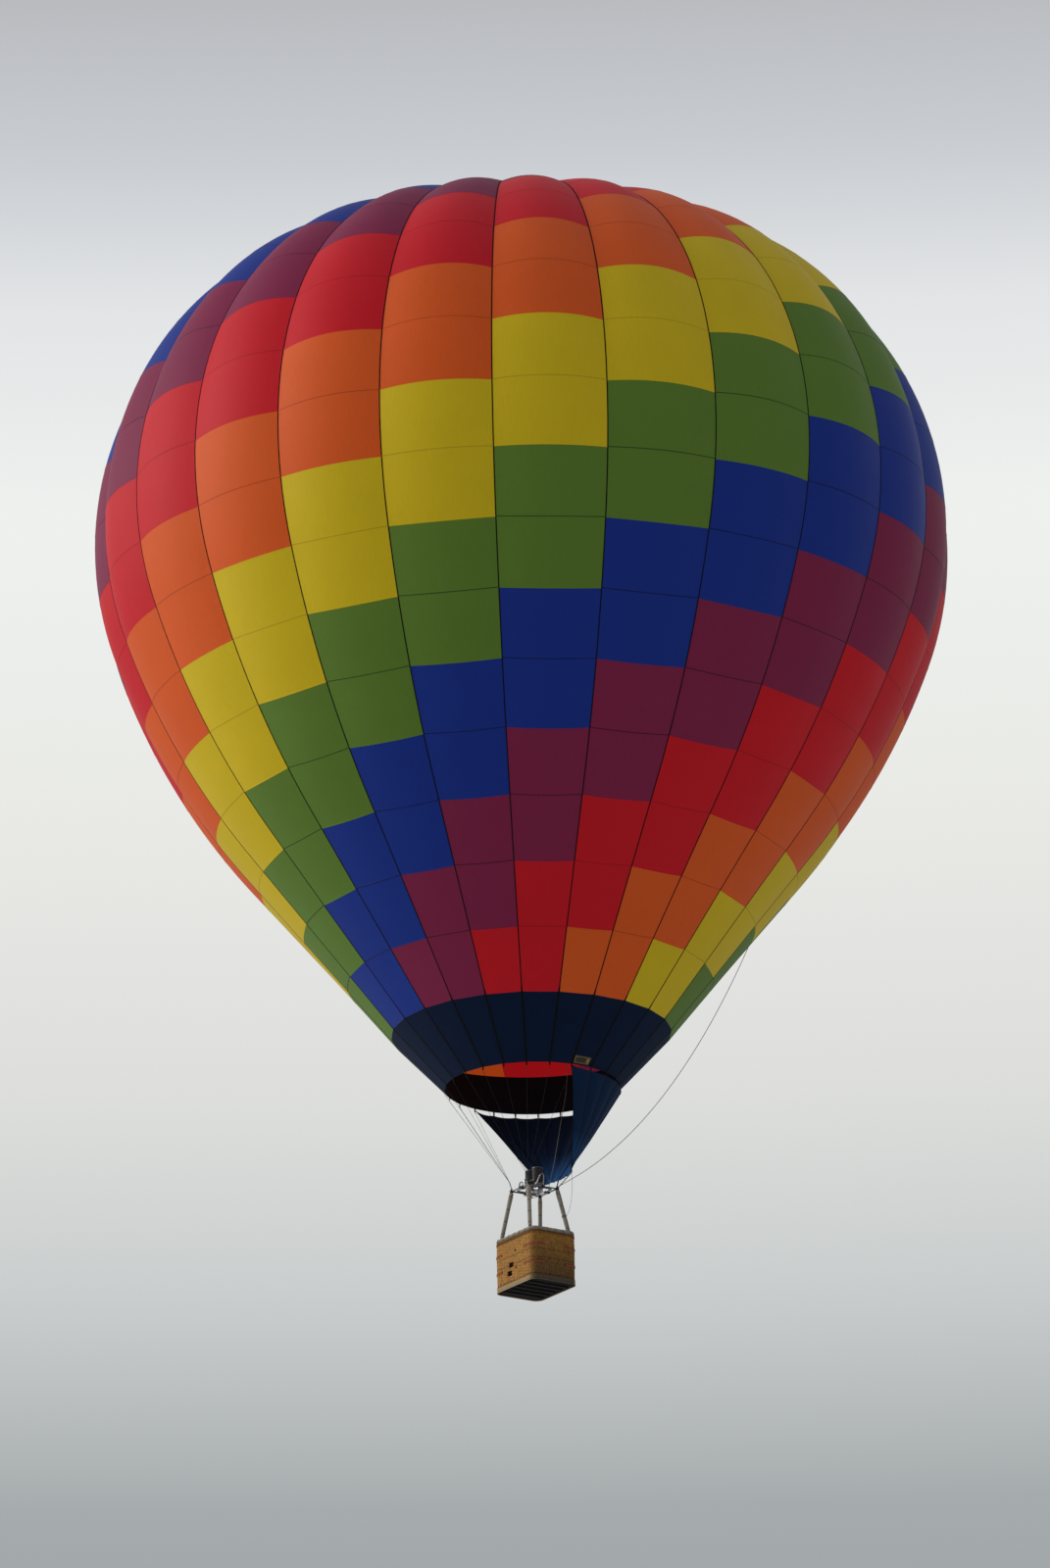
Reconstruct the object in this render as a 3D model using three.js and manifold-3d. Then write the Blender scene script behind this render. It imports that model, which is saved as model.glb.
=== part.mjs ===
// A hot air balloon: 24 sewn gores over a mouth band and a scoop, a parachute valve in the crown,
// a load frame with a gimballed double burner, and a wicker basket hung from four groups of wires.
// Millimetres. +Z is up, X runs along the basket's long side, and the scoop's open side faces -Y.
// The origin is on the envelope's axis, at the height of its widest ring.

import * as THREE from 'three';
import * as BufferGeometryUtils from 'three/addons/utils/BufferGeometryUtils.js';
import Module from 'manifold-3d';

const wasm = await Module();
wasm.setup();

const radians = THREE.MathUtils.degToRad;

// Envelope: arcs of one load tape from the crown down, which end in a straight cone
const TAPE_ARCS = [
  { radius: 11090, endAngle: 27.2 },
  { radius: 7380, endAngle: 109 },
  { radius: 15580, endAngle: 129.2 },
];
const [CROWN_ARC, SHOULDER_ARC] = TAPE_ARCS;
const CROWN_Z = CROWN_ARC.radius
  - (CROWN_ARC.radius - SHOULDER_ARC.radius) * Math.cos(radians(CROWN_ARC.endAngle));
const GORES = 24;
const GORE_ANGLE = 360 / GORES;
const FIRST_GORE_ANGLE = -30;
const HALF_GORE = radians(GORE_ANGLE / 2);
const GORE_COLUMNS = 3;
const PANEL_ROWS = 16;
const PANEL_HEIGHT = 1456;
const VENT_EDGE = 2819;
const BULGE_AT_MOUTH = 0.025;
const BULGE_AT_CROWN = 0.143;
const CLOTH = 10;
const SEAM_GAP = 0.15;
const SEAT = 0.3;

// Panel colours, in the order in which they climb a gore, two rows each
const PANEL_COLOURS = ['#a51a22', '#5f2540', '#1d2f7c', '#3f6a2a', '#a8961f', '#bd5f2a'];
const ROWS_PER_COLOUR = 2;
const COLOUR_ROW = 8;

// Mouth band, the tabs that hang from it, and the scoop below them
const MOUTH_RADIUS = 1860;
const MOUTH_Z = -12090;
const TAB = { width: 36, thickness: 6, length: 90, drop: 0.85 };
const TAB_BOTTOM = MOUTH_Z - TAB.drop - TAB.length;
const SCOOP_GORES = 13;
const SCOOP_ROWS = 3;
const SCOOP_TOP_RADIUS = 1862;
const SCOOP_HEM = { halfWidth: 560, middleY: 660, endY: 576, z: -14005 };

// Crown: a hub ring, the load tapes that cross the vent, and the parachute valve below them
const HUB = { inner: 120, outer: 180, bottom: CROWN_Z - 11, top: CROWN_Z + 9 };
const CROWN_TAPE = { width: 40, thickness: 10, start: 150, bend: 1500, end: VENT_EDGE - 3.2 };
const VALVE_OVERLAP = 331;
const VALVE_BULGE = 0.8;
const VALVE_DROP = 16.6;

// Load frame and the gimbal inside it
const FRAME_Z = -14339;
const FRAME = { halfX: 322, halfY: 358, tube: 16, corner: 64, cornerHeight: 56 };
const EYE = { thickness: 14, width: 44, height: 42 };
const PIVOT = { pin: 8, hole: 9 };
const PIVOT_BLOCK = { length: 54, width: 70, height: 50 };
const GIMBAL = { halfX: 255.5, halfY: 295, bar: 24, cornerRadius: 60 };

// Suspension: six wires to each corner of the load frame, side by side in a shackle on one link
const WIRE_RADIUS = 3;
const WIRE_TOP_RADIUS = 1852.5;
const LINK = { radius: 8, outX: 30, outY: 30, up: 200 };
const SHACKLE = { width: 58, depth: 24, height: 14, pitch: 7.4 };

// Burner
const BURNER_SPACING = 254;
const CAN = { outer: 120, inner: 88, bottom: 130.3, floor: 12, top: 450 };

// Basket
const BASKET = { halfX: 740, halfY: 560, corner: 170, wall: 28 };
const CORNER_STEPS = 6;
const RIM_TOP = -15351;
const RIM_HEIGHT = 90;
const RIM_WIDTH = 100;
const RIM_OVERHANG = 6;
const WALL_BOTTOM = -16512;
const FLOOR_BOTTOM = -16500;
const FLOOR_THICKNESS = 18;
const RUNNER = { length: 970, width: 60, height: 28, pitch: 230, count: 5 };
const HEM = { thickness: 5, bottom: -16516, top: -16446 };
const SOCKET = { x: 530, y: 483, radius: 48, above: 20, below: 150 };
const POLE_RADIUS = 40;
const CYLINDER = { radius: 140, height: 880, collar: 92, collarHeight: 62, shoulder: 44 };
const STRAP = { width: 40, thickness: 4, slotWidth: 13, slotHeight: 48 };
const STRAP_HEIGHTS = [-15751, -16116];
const STEP_HOLES = [
  { x: -85, z: -16035 },
  { x: -150, z: -16205 },
];
const STEP_HOLE = { width: 170, height: 110 };

// The crown line's route: along one load tape to where it leaves the cloth, then slack to the load frame
const CROWN_LINE_RADIUS = 7;
const CROWN_LINE_POINTS = [
  [-24, 179, 7796],
  [-117, 892, 7766],
  [-195, 1484, 7701],
  [-364, 2768, 7446],
  [-545, 4139, 6988],
  [-716, 5436, 6348],
  [-869, 6597, 5483],
  [-996, 7567, 4404],
  [-1094, 8309, 3155],
  [-1158, 8793, 1784],
  [-1185, 9002, 343],
  [-1175, 8927, -1111],
  [-1128, 8571, -2522],
  [-1095, 8317, -3196],
  [-1046, 8039, -3881],
  [-953, 7522, -5078],
  [-812, 6725, -6743],
  [-641, 5770, -8485],
  [-457, 4735, -10091],
  [-273, 3701, -11436],
  [-103, 2746, -12470],
  [39, 1950, -13192],
  [152, 1313, -13686],
  [251, 756, -14057],
  [322, 384, -14290],
];

const balloon = new THREE.Group();

function finish(color, roughness, metalness) {
  return new THREE.MeshStandardMaterial({ color, roughness, metalness });
}

const NAVY_CLOTH = finish('#101c38', 0.8, 0);
const WEBBING = finish('#2a2526', 0.85, 0);
const STEEL = finish('#8d9092', 0.35, 1);
const DARK_STEEL = finish('#3a3a3c', 0.5, 1);
const BRASS = finish('#a98b4d', 0.35, 1);
const SLEEVE = finish('#7f776b', 0.8, 0);
const WICKER = finish('#a07a45', 0.75, 0);
const LEATHER = finish('#8f887a', 0.7, 0);
const RAWHIDE = finish('#b3a688', 0.6, 0);
const PLYWOOD = finish('#3a2f24', 0.7, 0);
const JACKET = finish('#3c4046', 0.85, 0);
const ROPE = finish('#b9b3a4', 0.85, 0);

function addPiece(name, geometry, material) {
  const mesh = new THREE.Mesh(geometry, material);
  mesh.name = name;
  balloon.add(mesh);
}

function signedVolume(positions, index) {
  const corners = [0, 1, 2].map(() => new THREE.Vector3());
  let volume = 0;
  for (let i = 0; i < index.length; i += 3) {
    corners.forEach((corner, k) => corner.fromBufferAttribute(positions, index[i + k]));
    volume += corners[0].dot(corners[1].cross(corners[2]));
  }
  return volume;
}

// One closed skin: shared corners, no flat triangles, faces pointing out
function weld(geometry) {
  const bare = geometry.clone();
  bare.deleteAttribute('normal');
  bare.deleteAttribute('uv');
  const merged = BufferGeometryUtils.mergeVertices(bare, 1e-3);
  const index = [];
  for (let i = 0; i < merged.index.count; i += 3) {
    const [a, b, c] = [0, 1, 2].map((k) => merged.index.getX(i + k));
    if (a !== b && b !== c && c !== a) index.push(a, b, c);
  }
  if (signedVolume(merged.attributes.position, index) < 0) index.reverse();
  merged.setIndex(index);
  return merged;
}

function toSolid(geometry) {
  const welded = weld(geometry);
  return new wasm.Manifold(new wasm.Mesh({
    numProp: 3,
    vertProperties: new Float32Array(welded.attributes.position.array),
    triVerts: new Uint32Array(welded.index.array),
  }));
}

function toGeometry(solid) {
  const mesh = solid.getMesh();
  const geometry = new THREE.BufferGeometry();
  geometry.setAttribute('position', new THREE.BufferAttribute(new Float32Array(mesh.vertProperties), 3));
  geometry.setIndex([...mesh.triVerts]);
  return geometry;
}

function joined(geometries, cuts = []) {
  const body = geometries.map(toSolid).reduce((sum, solid) => sum.add(solid));
  return toGeometry(cuts.map(toSolid).reduce((rest, solid) => rest.subtract(solid), body));
}

function box(sizeX, sizeY, sizeZ, x, y, z) {
  return new THREE.BoxGeometry(sizeX, sizeY, sizeZ).translate(x, y, z);
}

function rod(from, to, radius, sides = 12) {
  const start = new THREE.Vector3(...from);
  const axis = new THREE.Vector3(...to).sub(start);
  const middle = start.clone().addScaledVector(axis, 0.5);
  const turn = new THREE.Quaternion().setFromUnitVectors(
    new THREE.Vector3(0, 1, 0),
    axis.clone().normalize(),
  );
  return new THREE.CylinderGeometry(radius, radius, axis.length(), sides)
    .applyQuaternion(turn)
    .translate(middle.x, middle.y, middle.z);
}

// A turned piece about Z from a list of [radius, height]
function turned(profile, sides = 24) {
  const points = profile.map(([r, z]) => new THREE.Vector2(r, z));
  return weld(new THREE.LatheGeometry(points, sides).rotateX(Math.PI / 2));
}

// A cloth sheet between two grids of points: rows run down it, columns run anticlockwise round it
function sheet(outer, inner, closed) {
  const rows = outer.length;
  const columns = outer[0].length;
  const index = [];
  const at = (layer, row, column) => (layer * rows + row) * columns + (column % columns);
  const quad = (a, b, c, d) => index.push(a, b, c, a, c, d);
  const spans = closed ? columns : columns - 1;
  const last = rows - 1;
  for (let k = 0; k < spans; k += 1) {
    for (let row = 0; row < last; row += 1) {
      quad(at(0, row, k), at(0, row + 1, k), at(0, row + 1, k + 1), at(0, row, k + 1));
      quad(at(1, row, k), at(1, row, k + 1), at(1, row + 1, k + 1), at(1, row + 1, k));
    }
    quad(at(0, 0, k), at(0, 0, k + 1), at(1, 0, k + 1), at(1, 0, k));
    quad(at(0, last, k), at(1, last, k), at(1, last, k + 1), at(0, last, k + 1));
  }
  for (let row = 0; row < last && !closed; row += 1) {
    quad(at(0, row, 0), at(1, row, 0), at(1, row + 1, 0), at(0, row + 1, 0));
    quad(at(0, row, spans), at(0, row + 1, spans), at(1, row + 1, spans), at(1, row, spans));
  }
  const points = [...outer.flat(), ...inner.flat()];
  const geometry = new THREE.BufferGeometry().setFromPoints(points);
  geometry.setIndex(index);
  return weld(geometry);
}

// A closed bar round an outline, from a section of [distance out from the outline, height]
function barRound(outline, section) {
  const rings = outline.map(({ x, y, nx, ny }) => section.map(
    ([out, z]) => new THREE.Vector3(x + nx * out, y + ny * out, z),
  ));
  const count = section.length;
  const index = [];
  rings.forEach((ring, i) => {
    const next = (i + 1) % rings.length;
    for (let k = 0; k < count; k += 1) {
      const over = (k + 1) % count;
      const [a, b, c, d] = [i * count + k, next * count + k, next * count + over, i * count + over];
      index.push(a, b, c, a, c, d);
    }
  });
  const geometry = new THREE.BufferGeometry().setFromPoints(rings.flat());
  geometry.setIndex(index);
  return weld(geometry);
}

function roundedOutline(halfX, halfY, radius) {
  const corners = [
    { sideX: 1, sideY: 1, from: 0 },
    { sideX: -1, sideY: 1, from: 90 },
    { sideX: -1, sideY: -1, from: 180 },
    { sideX: 1, sideY: -1, from: 270 },
  ];
  return corners.flatMap(({ sideX, sideY, from }) => {
    const stations = [];
    for (let step = 0; step <= CORNER_STEPS; step += 1) {
      const angle = radians(from + (90 * step) / CORNER_STEPS);
      const nx = Math.cos(angle);
      const ny = Math.sin(angle);
      stations.push({
        x: sideX * (halfX - radius) + radius * nx,
        y: sideY * (halfY - radius) + radius * ny,
        nx,
        ny,
      });
    }
    return stations;
  });
}

// A point of the tape line: its distance from the axis, its height, and how steeply it runs down
function tapePoint(distance) {
  let r = 0;
  let z = CROWN_Z;
  let slope = 0;
  let left = distance;
  for (const { radius, endAngle } of TAPE_ARCS) {
    const run = Math.min(left, radius * (radians(endAngle) - slope));
    const turnedTo = slope + run / radius;
    r += radius * (Math.sin(turnedTo) - Math.sin(slope));
    z += radius * (Math.cos(turnedTo) - Math.cos(slope));
    left -= run;
    slope = turnedTo;
    if (left <= 0) return { r, z, slope };
  }
  return { r: r + left * Math.cos(slope), z: z - left * Math.sin(slope), slope };
}

function pushedIn(point, depth) {
  return {
    r: point.r - depth * Math.sin(point.slope),
    z: point.z - depth * Math.cos(point.slope),
    slope: point.slope,
  };
}

// Outer and inner cloth points of one gore, bulged between its tapes: across runs from -1 to 1
function clothPoints(tape, across, angle, fullness = 1, seamGap = 0) {
  const halfChord = tape.r * Math.sin(HALF_GORE);
  const share = THREE.MathUtils.mapLinear(tape.z, MOUTH_Z, CROWN_Z, BULGE_AT_MOUTH, BULGE_AT_CROWN);
  const bulge = fullness * share * 2 * halfChord * (1 - across * across);
  const out = Math.sin(tape.slope);
  const up = Math.cos(tape.slope);
  const outerX = tape.r * Math.cos(HALF_GORE) + bulge * out;
  const outerY = across * halfChord;
  const outerZ = tape.z + bulge * up;
  const innerX = outerX - CLOTH * out;
  const innerY = outerX > 0 ? outerY * (innerX / outerX) : 0;
  const trim = Math.abs(across) === 1 ? Math.sign(across) * seamGap : 0;
  const cos = Math.cos(angle);
  const sin = Math.sin(angle);
  const place = (x, y, z) => new THREE.Vector3(x * cos - y * sin, x * sin + y * cos, z);
  return [
    place(outerX, outerY - trim, outerZ),
    place(innerX, innerY - trim, outerZ - CLOTH * up),
  ];
}

function acrossStations() {
  return Array.from({ length: GORE_COLUMNS + 1 }, (_, k) => (2 * k) / GORE_COLUMNS - 1);
}

const goreAngle = (gore) => radians(FIRST_GORE_ANGLE + GORE_ANGLE * gore);

// Tape points at the seams between panel rows, from the vent's edge down to the mouth band
const PANEL_RINGS = Array.from({ length: PANEL_ROWS + 1 }, (_, k) => tapePoint(VENT_EDGE + PANEL_HEIGHT * k));
const BAND_TOP = PANEL_RINGS[PANEL_ROWS];

// Gores
for (let gore = 0; gore < GORES; gore += 1) {
  const grid = PANEL_RINGS.map((ring) => acrossStations().map(
    (across) => clothPoints(ring, across, goreAngle(gore), 1, SEAM_GAP),
  ));
  const outer = grid.map((row) => row.map(([point]) => point));
  const inner = grid.map((row) => row.map(([, point]) => point));
  const step = Math.floor((COLOUR_ROW - gore) / ROWS_PER_COLOUR);
  const colour = PANEL_COLOURS[THREE.MathUtils.euclideanModulo(step, PANEL_COLOURS.length)];
  const name = `gore_${String(gore + 1).padStart(2, '0')}`;
  addPiece(name, sheet(outer, inner, false), finish(colour, 0.6, 0));
}

// Rows of points that run all the way round, gore by gore
function roundRow(tape, fullness) {
  const row = [];
  for (let gore = 0; gore < GORES; gore += 1) {
    for (const across of acrossStations().slice(0, GORE_COLUMNS)) {
      row.push(clothPoints(tape, across, goreAngle(gore), fullness));
    }
  }
  return row;
}

function roundSheet(rows) {
  const outer = rows.map((row) => row.map(([point]) => point));
  const inner = rows.map((row) => row.map(([, point]) => point));
  return sheet(outer, inner, true);
}

// Mouth band
const bandTop = { ...BAND_TOP, z: BAND_TOP.z - SEAT - 0.1 };
const bandBottom = {
  r: MOUTH_RADIUS,
  z: MOUTH_Z,
  slope: Math.PI - Math.atan2(BAND_TOP.z - MOUTH_Z, BAND_TOP.r - MOUTH_RADIUS),
};
addPiece('mouth_band', roundSheet([roundRow(bandTop, 1), roundRow(bandBottom, 1)]), NAVY_CLOTH);

// Parachute valve: a domed disc whose rim lies under the vent's edge
const ventRing = PANEL_RINGS[0];
const rowBelow = PANEL_RINGS[1];
const seatShare = VALVE_OVERLAP / PANEL_HEIGHT;
const valveSeat = {
  r: THREE.MathUtils.lerp(ventRing.r, rowBelow.r, seatShare),
  z: THREE.MathUtils.lerp(ventRing.z, rowBelow.z, seatShare),
  slope: THREE.MathUtils.lerp(ventRing.slope, rowBelow.slope, seatShare),
};
const valveRows = [0, CROWN_TAPE.start, CROWN_TAPE.bend, VENT_EDGE]
  .map((distance) => pushedIn(tapePoint(distance), VALVE_DROP));
valveRows[0].r = 0;
valveRows.push(pushedIn(valveSeat, CLOTH + SEAT + 0.2));
addPiece('parachute_valve', roundSheet(valveRows.map((row) => roundRow(row, VALVE_BULGE))), NAVY_CLOTH);

// Crown ring with the load tapes that cross the vent
function crownTape(angle) {
  const stations = [CROWN_TAPE.start, CROWN_TAPE.bend, CROWN_TAPE.end].map(tapePoint);
  const half = CROWN_TAPE.width / 2;
  const row = (point, side) => new THREE.Vector3(
    point.r * Math.cos(angle) - side * half * Math.sin(angle),
    point.r * Math.sin(angle) + side * half * Math.cos(angle),
    point.z,
  );
  const outer = stations.map((point) => [row(point, -1), row(point, 1)]);
  const inner = stations
    .map((point) => pushedIn(point, CROWN_TAPE.thickness))
    .map((point) => [row(point, -1), row(point, 1)]);
  return sheet(outer, inner, false);
}

const hubRing = turned([
  [HUB.inner, HUB.bottom],
  [HUB.outer, HUB.bottom],
  [HUB.outer, HUB.top],
  [HUB.inner, HUB.top],
  [HUB.inner, HUB.bottom],
], 48);
const crownTapes = Array.from({ length: GORES }, (_, gore) => crownTape(goreAngle(gore + 0.5)));
addPiece('crown_ring', joined([hubRing, ...crownTapes]), WEBBING);

// Scoop: a half cone of cloth from the tabs down to a shallow hem behind the burner
function scoopPoint(side, down) {
  const angle = radians(90 - side * (SCOOP_GORES * GORE_ANGLE) / 2);
  const top = new THREE.Vector3(
    SCOOP_TOP_RADIUS * Math.cos(angle),
    SCOOP_TOP_RADIUS * Math.sin(angle),
    TAB_BOTTOM - SEAT,
  );
  const hem = new THREE.Vector3(
    SCOOP_HEM.halfWidth * side,
    THREE.MathUtils.lerp(SCOOP_HEM.middleY, SCOOP_HEM.endY, side * side),
    SCOOP_HEM.z,
  );
  return top.lerp(hem, down);
}

function scoopInnerPoint(side, down) {
  const nudge = 0.01;
  const along = scoopPoint(side + nudge, down).sub(scoopPoint(side - nudge, down));
  const fall = scoopPoint(side, down + nudge).sub(scoopPoint(side, down - nudge));
  const inward = fall.cross(along).normalize();
  const level = down === 0 || down === 1 ? inward.setZ(0).normalize() : inward;
  return scoopPoint(side, down).addScaledVector(level, CLOTH);
}

const scoopSides = Array.from({ length: 2 * SCOOP_GORES + 1 }, (_, k) => 1 - k / SCOOP_GORES);
const scoopRows = Array.from({ length: SCOOP_ROWS }, (_, k) => k / (SCOOP_ROWS - 1));
addPiece('scoop', sheet(
  scoopRows.map((down) => scoopSides.map((side) => scoopPoint(side, down))),
  scoopRows.map((down) => scoopSides.map((side) => scoopInnerPoint(side, down))),
  false,
), NAVY_CLOTH);

// Suspension: tabs, wires, a shackle and a link for each corner of the load frame
const FRAME_CORNERS = [
  { number: 1, sideX: 1, sideY: 1 },
  { number: 2, sideX: -1, sideY: 1 },
  { number: 3, sideX: -1, sideY: -1 },
  { number: 4, sideX: 1, sideY: -1 },
];
const WIRES_PER_CORNER = GORES / FRAME_CORNERS.length;
const EYE_TOP = FRAME_Z + FRAME.cornerHeight / 2 + EYE.height;

for (const { number, sideX, sideY } of FRAME_CORNERS) {
  const meet = [
    sideX * (FRAME.halfX + LINK.outX),
    sideY * (FRAME.halfY + LINK.outY),
    FRAME_Z + LINK.up,
  ];
  const lean = Math.atan2(Math.hypot(LINK.outX, LINK.outY), meet[2] - EYE_TOP);
  const foot = [
    sideX * FRAME.halfX,
    sideY * FRAME.halfY,
    EYE_TOP + SEAT + LINK.radius * Math.sin(lean),
  ];
  const middle = radians((number - 0.5) * 90);
  const shackle = new THREE.BoxGeometry(SHACKLE.depth, SHACKLE.width, SHACKLE.height)
    .rotateZ(middle)
    .translate(...meet);
  const pieces = [rod(foot, meet, LINK.radius, 8), shackle];
  for (let k = 0; k < WIRES_PER_CORNER; k += 1) {
    const angle = radians((number - 1) * 90 + (k + 0.5) * GORE_ANGLE);
    const along = [Math.cos(angle), Math.sin(angle)];
    const shift = (k - (WIRES_PER_CORNER - 1) / 2) * SHACKLE.pitch;
    const end = [meet[0] - shift * Math.sin(middle), meet[1] + shift * Math.cos(middle), meet[2]];
    const tab = new THREE.BoxGeometry(TAB.thickness, TAB.width, TAB.length)
      .translate(MOUTH_RADIUS - TAB.thickness / 2, 0, TAB_BOTTOM + TAB.length / 2)
      .rotateZ(angle);
    const head = [WIRE_TOP_RADIUS * along[0], WIRE_TOP_RADIUS * along[1], TAB_BOTTOM + 40];
    pieces.push(tab, rod(head, end, WIRE_RADIUS, 6));
  }
  addPiece(`suspension_wires_${number}`, joined(pieces), STEEL);
}

// Load frame: four tubes, corner blocks with eyes, and blocks at the middle of each tube
const framePieces = [];
for (const side of [-1, 1]) {
  framePieces.push(
    rod([-FRAME.halfX, side * FRAME.halfY, FRAME_Z], [FRAME.halfX, side * FRAME.halfY, FRAME_Z], FRAME.tube),
    rod([side * FRAME.halfX, -FRAME.halfY, FRAME_Z], [side * FRAME.halfX, FRAME.halfY, FRAME_Z], FRAME.tube),
    box(PIVOT_BLOCK.length, PIVOT_BLOCK.width, PIVOT_BLOCK.height, side * FRAME.halfX, 0, FRAME_Z),
    box(PIVOT_BLOCK.width, 44, 44, 0, side * FRAME.halfY, FRAME_Z),
  );
}
for (const { sideX, sideY } of FRAME_CORNERS) {
  const x = sideX * FRAME.halfX;
  const y = sideY * FRAME.halfY;
  framePieces.push(
    box(FRAME.corner, FRAME.corner, FRAME.cornerHeight, x, y, FRAME_Z),
    box(EYE.thickness, EYE.width, EYE.height + 2, x, y, EYE_TOP - EYE.height / 2 - 1),
  );
}
const outerPivotHoles = [rod([-FRAME.halfX - 60, 0, FRAME_Z], [FRAME.halfX + 60, 0, FRAME_Z], PIVOT.hole)];
addPiece('load_frame', joined(framePieces, outerPivotHoles), DARK_STEEL);

// Gimbal ring: turns in the load frame about X, and carries the burner on pins along Y
const gimbalBar = barRound(
  roundedOutline(GIMBAL.halfX, GIMBAL.halfY, GIMBAL.cornerRadius),
  [
    [0, FRAME_Z - GIMBAL.bar / 2],
    [0, FRAME_Z + GIMBAL.bar / 2],
    [-GIMBAL.bar, FRAME_Z + GIMBAL.bar / 2],
    [-GIMBAL.bar, FRAME_Z - GIMBAL.bar / 2],
  ],
);
const gimbalPieces = [gimbalBar];
for (const side of [-1, 1]) {
  gimbalPieces.push(
    box(34, 44, 34, side * (GIMBAL.halfX + 12), 0, FRAME_Z),
    rod([side * (GIMBAL.halfX + 20), 0, FRAME_Z], [side * (FRAME.halfX + 18), 0, FRAME_Z], PIVOT.pin),
    box(64, 34, 44, 0, side * (GIMBAL.halfY - 12), FRAME_Z),
  );
}
const innerPivotHoles = [-1, 1].map((side) => rod(
  [0, side * (GIMBAL.halfY - 60), FRAME_Z],
  [0, side * (GIMBAL.halfY + 60), FRAME_Z],
  PIVOT.hole,
));
addPiece('gimbal_ring', joined(gimbalPieces, innerPivotHoles), DARK_STEEL);

// Burner block: crossbar with its pins, manifold, ribbed vaporiser bases and blast valves
const ribs = (x) => turned([
  [0, 24], [64, 24], [80, 36], [64, 48], [80, 60], [64, 72], [80, 84], [64, 96], [80, 108], [64, 120],
  [70, CAN.bottom - SEAT], [0, CAN.bottom - SEAT],
], 16).translate(x, 0, FRAME_Z);
const blockPieces = [
  box(56, 392, 46, 0, 0, FRAME_Z),
  box(400, 84, 56, 0, 0, FRAME_Z),
];
for (const side of [-1, 1]) {
  const x = (side * BURNER_SPACING) / 2;
  blockPieces.push(
    rod([0, side * 180, FRAME_Z], [0, side * (GIMBAL.halfY - 2), FRAME_Z], PIVOT.pin),
    ribs(x),
    rod([x, 0, FRAME_Z], [x, 0, FRAME_Z - 150], 26),
    rod([x, 0, FRAME_Z - 105], [x, -120, FRAME_Z - 105], 13, 8),
    box(22, 74, 14, x, -150, FRAME_Z - 112),
  );
}
addPiece('burner_block', joined(blockPieces), BRASS);

// Burner cans with their coils, open at the top
[-1, 1].forEach((side, k) => {
  const can = turned([
    [0, CAN.bottom],
    [CAN.outer, CAN.bottom],
    [CAN.outer, CAN.top],
    [CAN.inner, CAN.top],
    [CAN.inner, CAN.bottom + CAN.floor],
    [0, CAN.bottom + CAN.floor],
  ]).translate((side * BURNER_SPACING) / 2, 0, FRAME_Z);
  addPiece(`burner_can_${k + 1}`, can, DARK_STEEL);
});

// Poles: padded sleeves that lean from the basket's sockets to the load frame, cut level at both ends
for (const { number, sideX, sideY } of FRAME_CORNERS) {
  const bottom = RIM_TOP + SOCKET.above + SEAT;
  const top = FRAME_Z - FRAME.cornerHeight / 2 - SEAT;
  const pole = new THREE.CylinderGeometry(POLE_RADIUS, POLE_RADIUS, top - bottom, 12).rotateX(Math.PI / 2);
  const leanX = sideX * (FRAME.halfX - SOCKET.x) / (top - bottom);
  const leanY = sideY * (FRAME.halfY - SOCKET.y) / (top - bottom);
  const shear = new THREE.Matrix4().set(
    1, 0, leanX, 0,
    0, 1, leanY, 0,
    0, 0, 1, 0,
    0, 0, 0, 1,
  );
  pole.applyMatrix4(shear).translate(
    (sideX * (FRAME.halfX + SOCKET.x)) / 2,
    (sideY * (FRAME.halfY + SOCKET.y)) / 2,
    (top + bottom) / 2,
  );
  addPiece(`pole_${number}`, weld(pole), SLEEVE);
}

// Basket rim: a padded roll with a socket for a pole in each corner
const basketOutline = roundedOutline(BASKET.halfX, BASKET.halfY, BASKET.corner);
const RIM_CHAMFER = 28;
const rimOut = RIM_OVERHANG;
const rimIn = RIM_OVERHANG - RIM_WIDTH;
const rimBottom = RIM_TOP - RIM_HEIGHT;
const rimRoll = barRound(basketOutline, [
  [rimIn + RIM_CHAMFER, rimBottom],
  [rimOut - RIM_CHAMFER, rimBottom],
  [rimOut, rimBottom + RIM_CHAMFER],
  [rimOut, RIM_TOP - RIM_CHAMFER],
  [rimOut - RIM_CHAMFER, RIM_TOP],
  [rimIn + RIM_CHAMFER, RIM_TOP],
  [rimIn, RIM_TOP - RIM_CHAMFER],
  [rimIn, rimBottom + RIM_CHAMFER],
]);
const sockets = FRAME_CORNERS.map(({ sideX, sideY }) => rod(
  [sideX * SOCKET.x, sideY * SOCKET.y, RIM_TOP - SOCKET.below],
  [sideX * SOCKET.x, sideY * SOCKET.y, RIM_TOP + SOCKET.above],
  SOCKET.radius,
));
addPiece('rim_pad', joined([rimRoll, ...sockets]), LEATHER);

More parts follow.
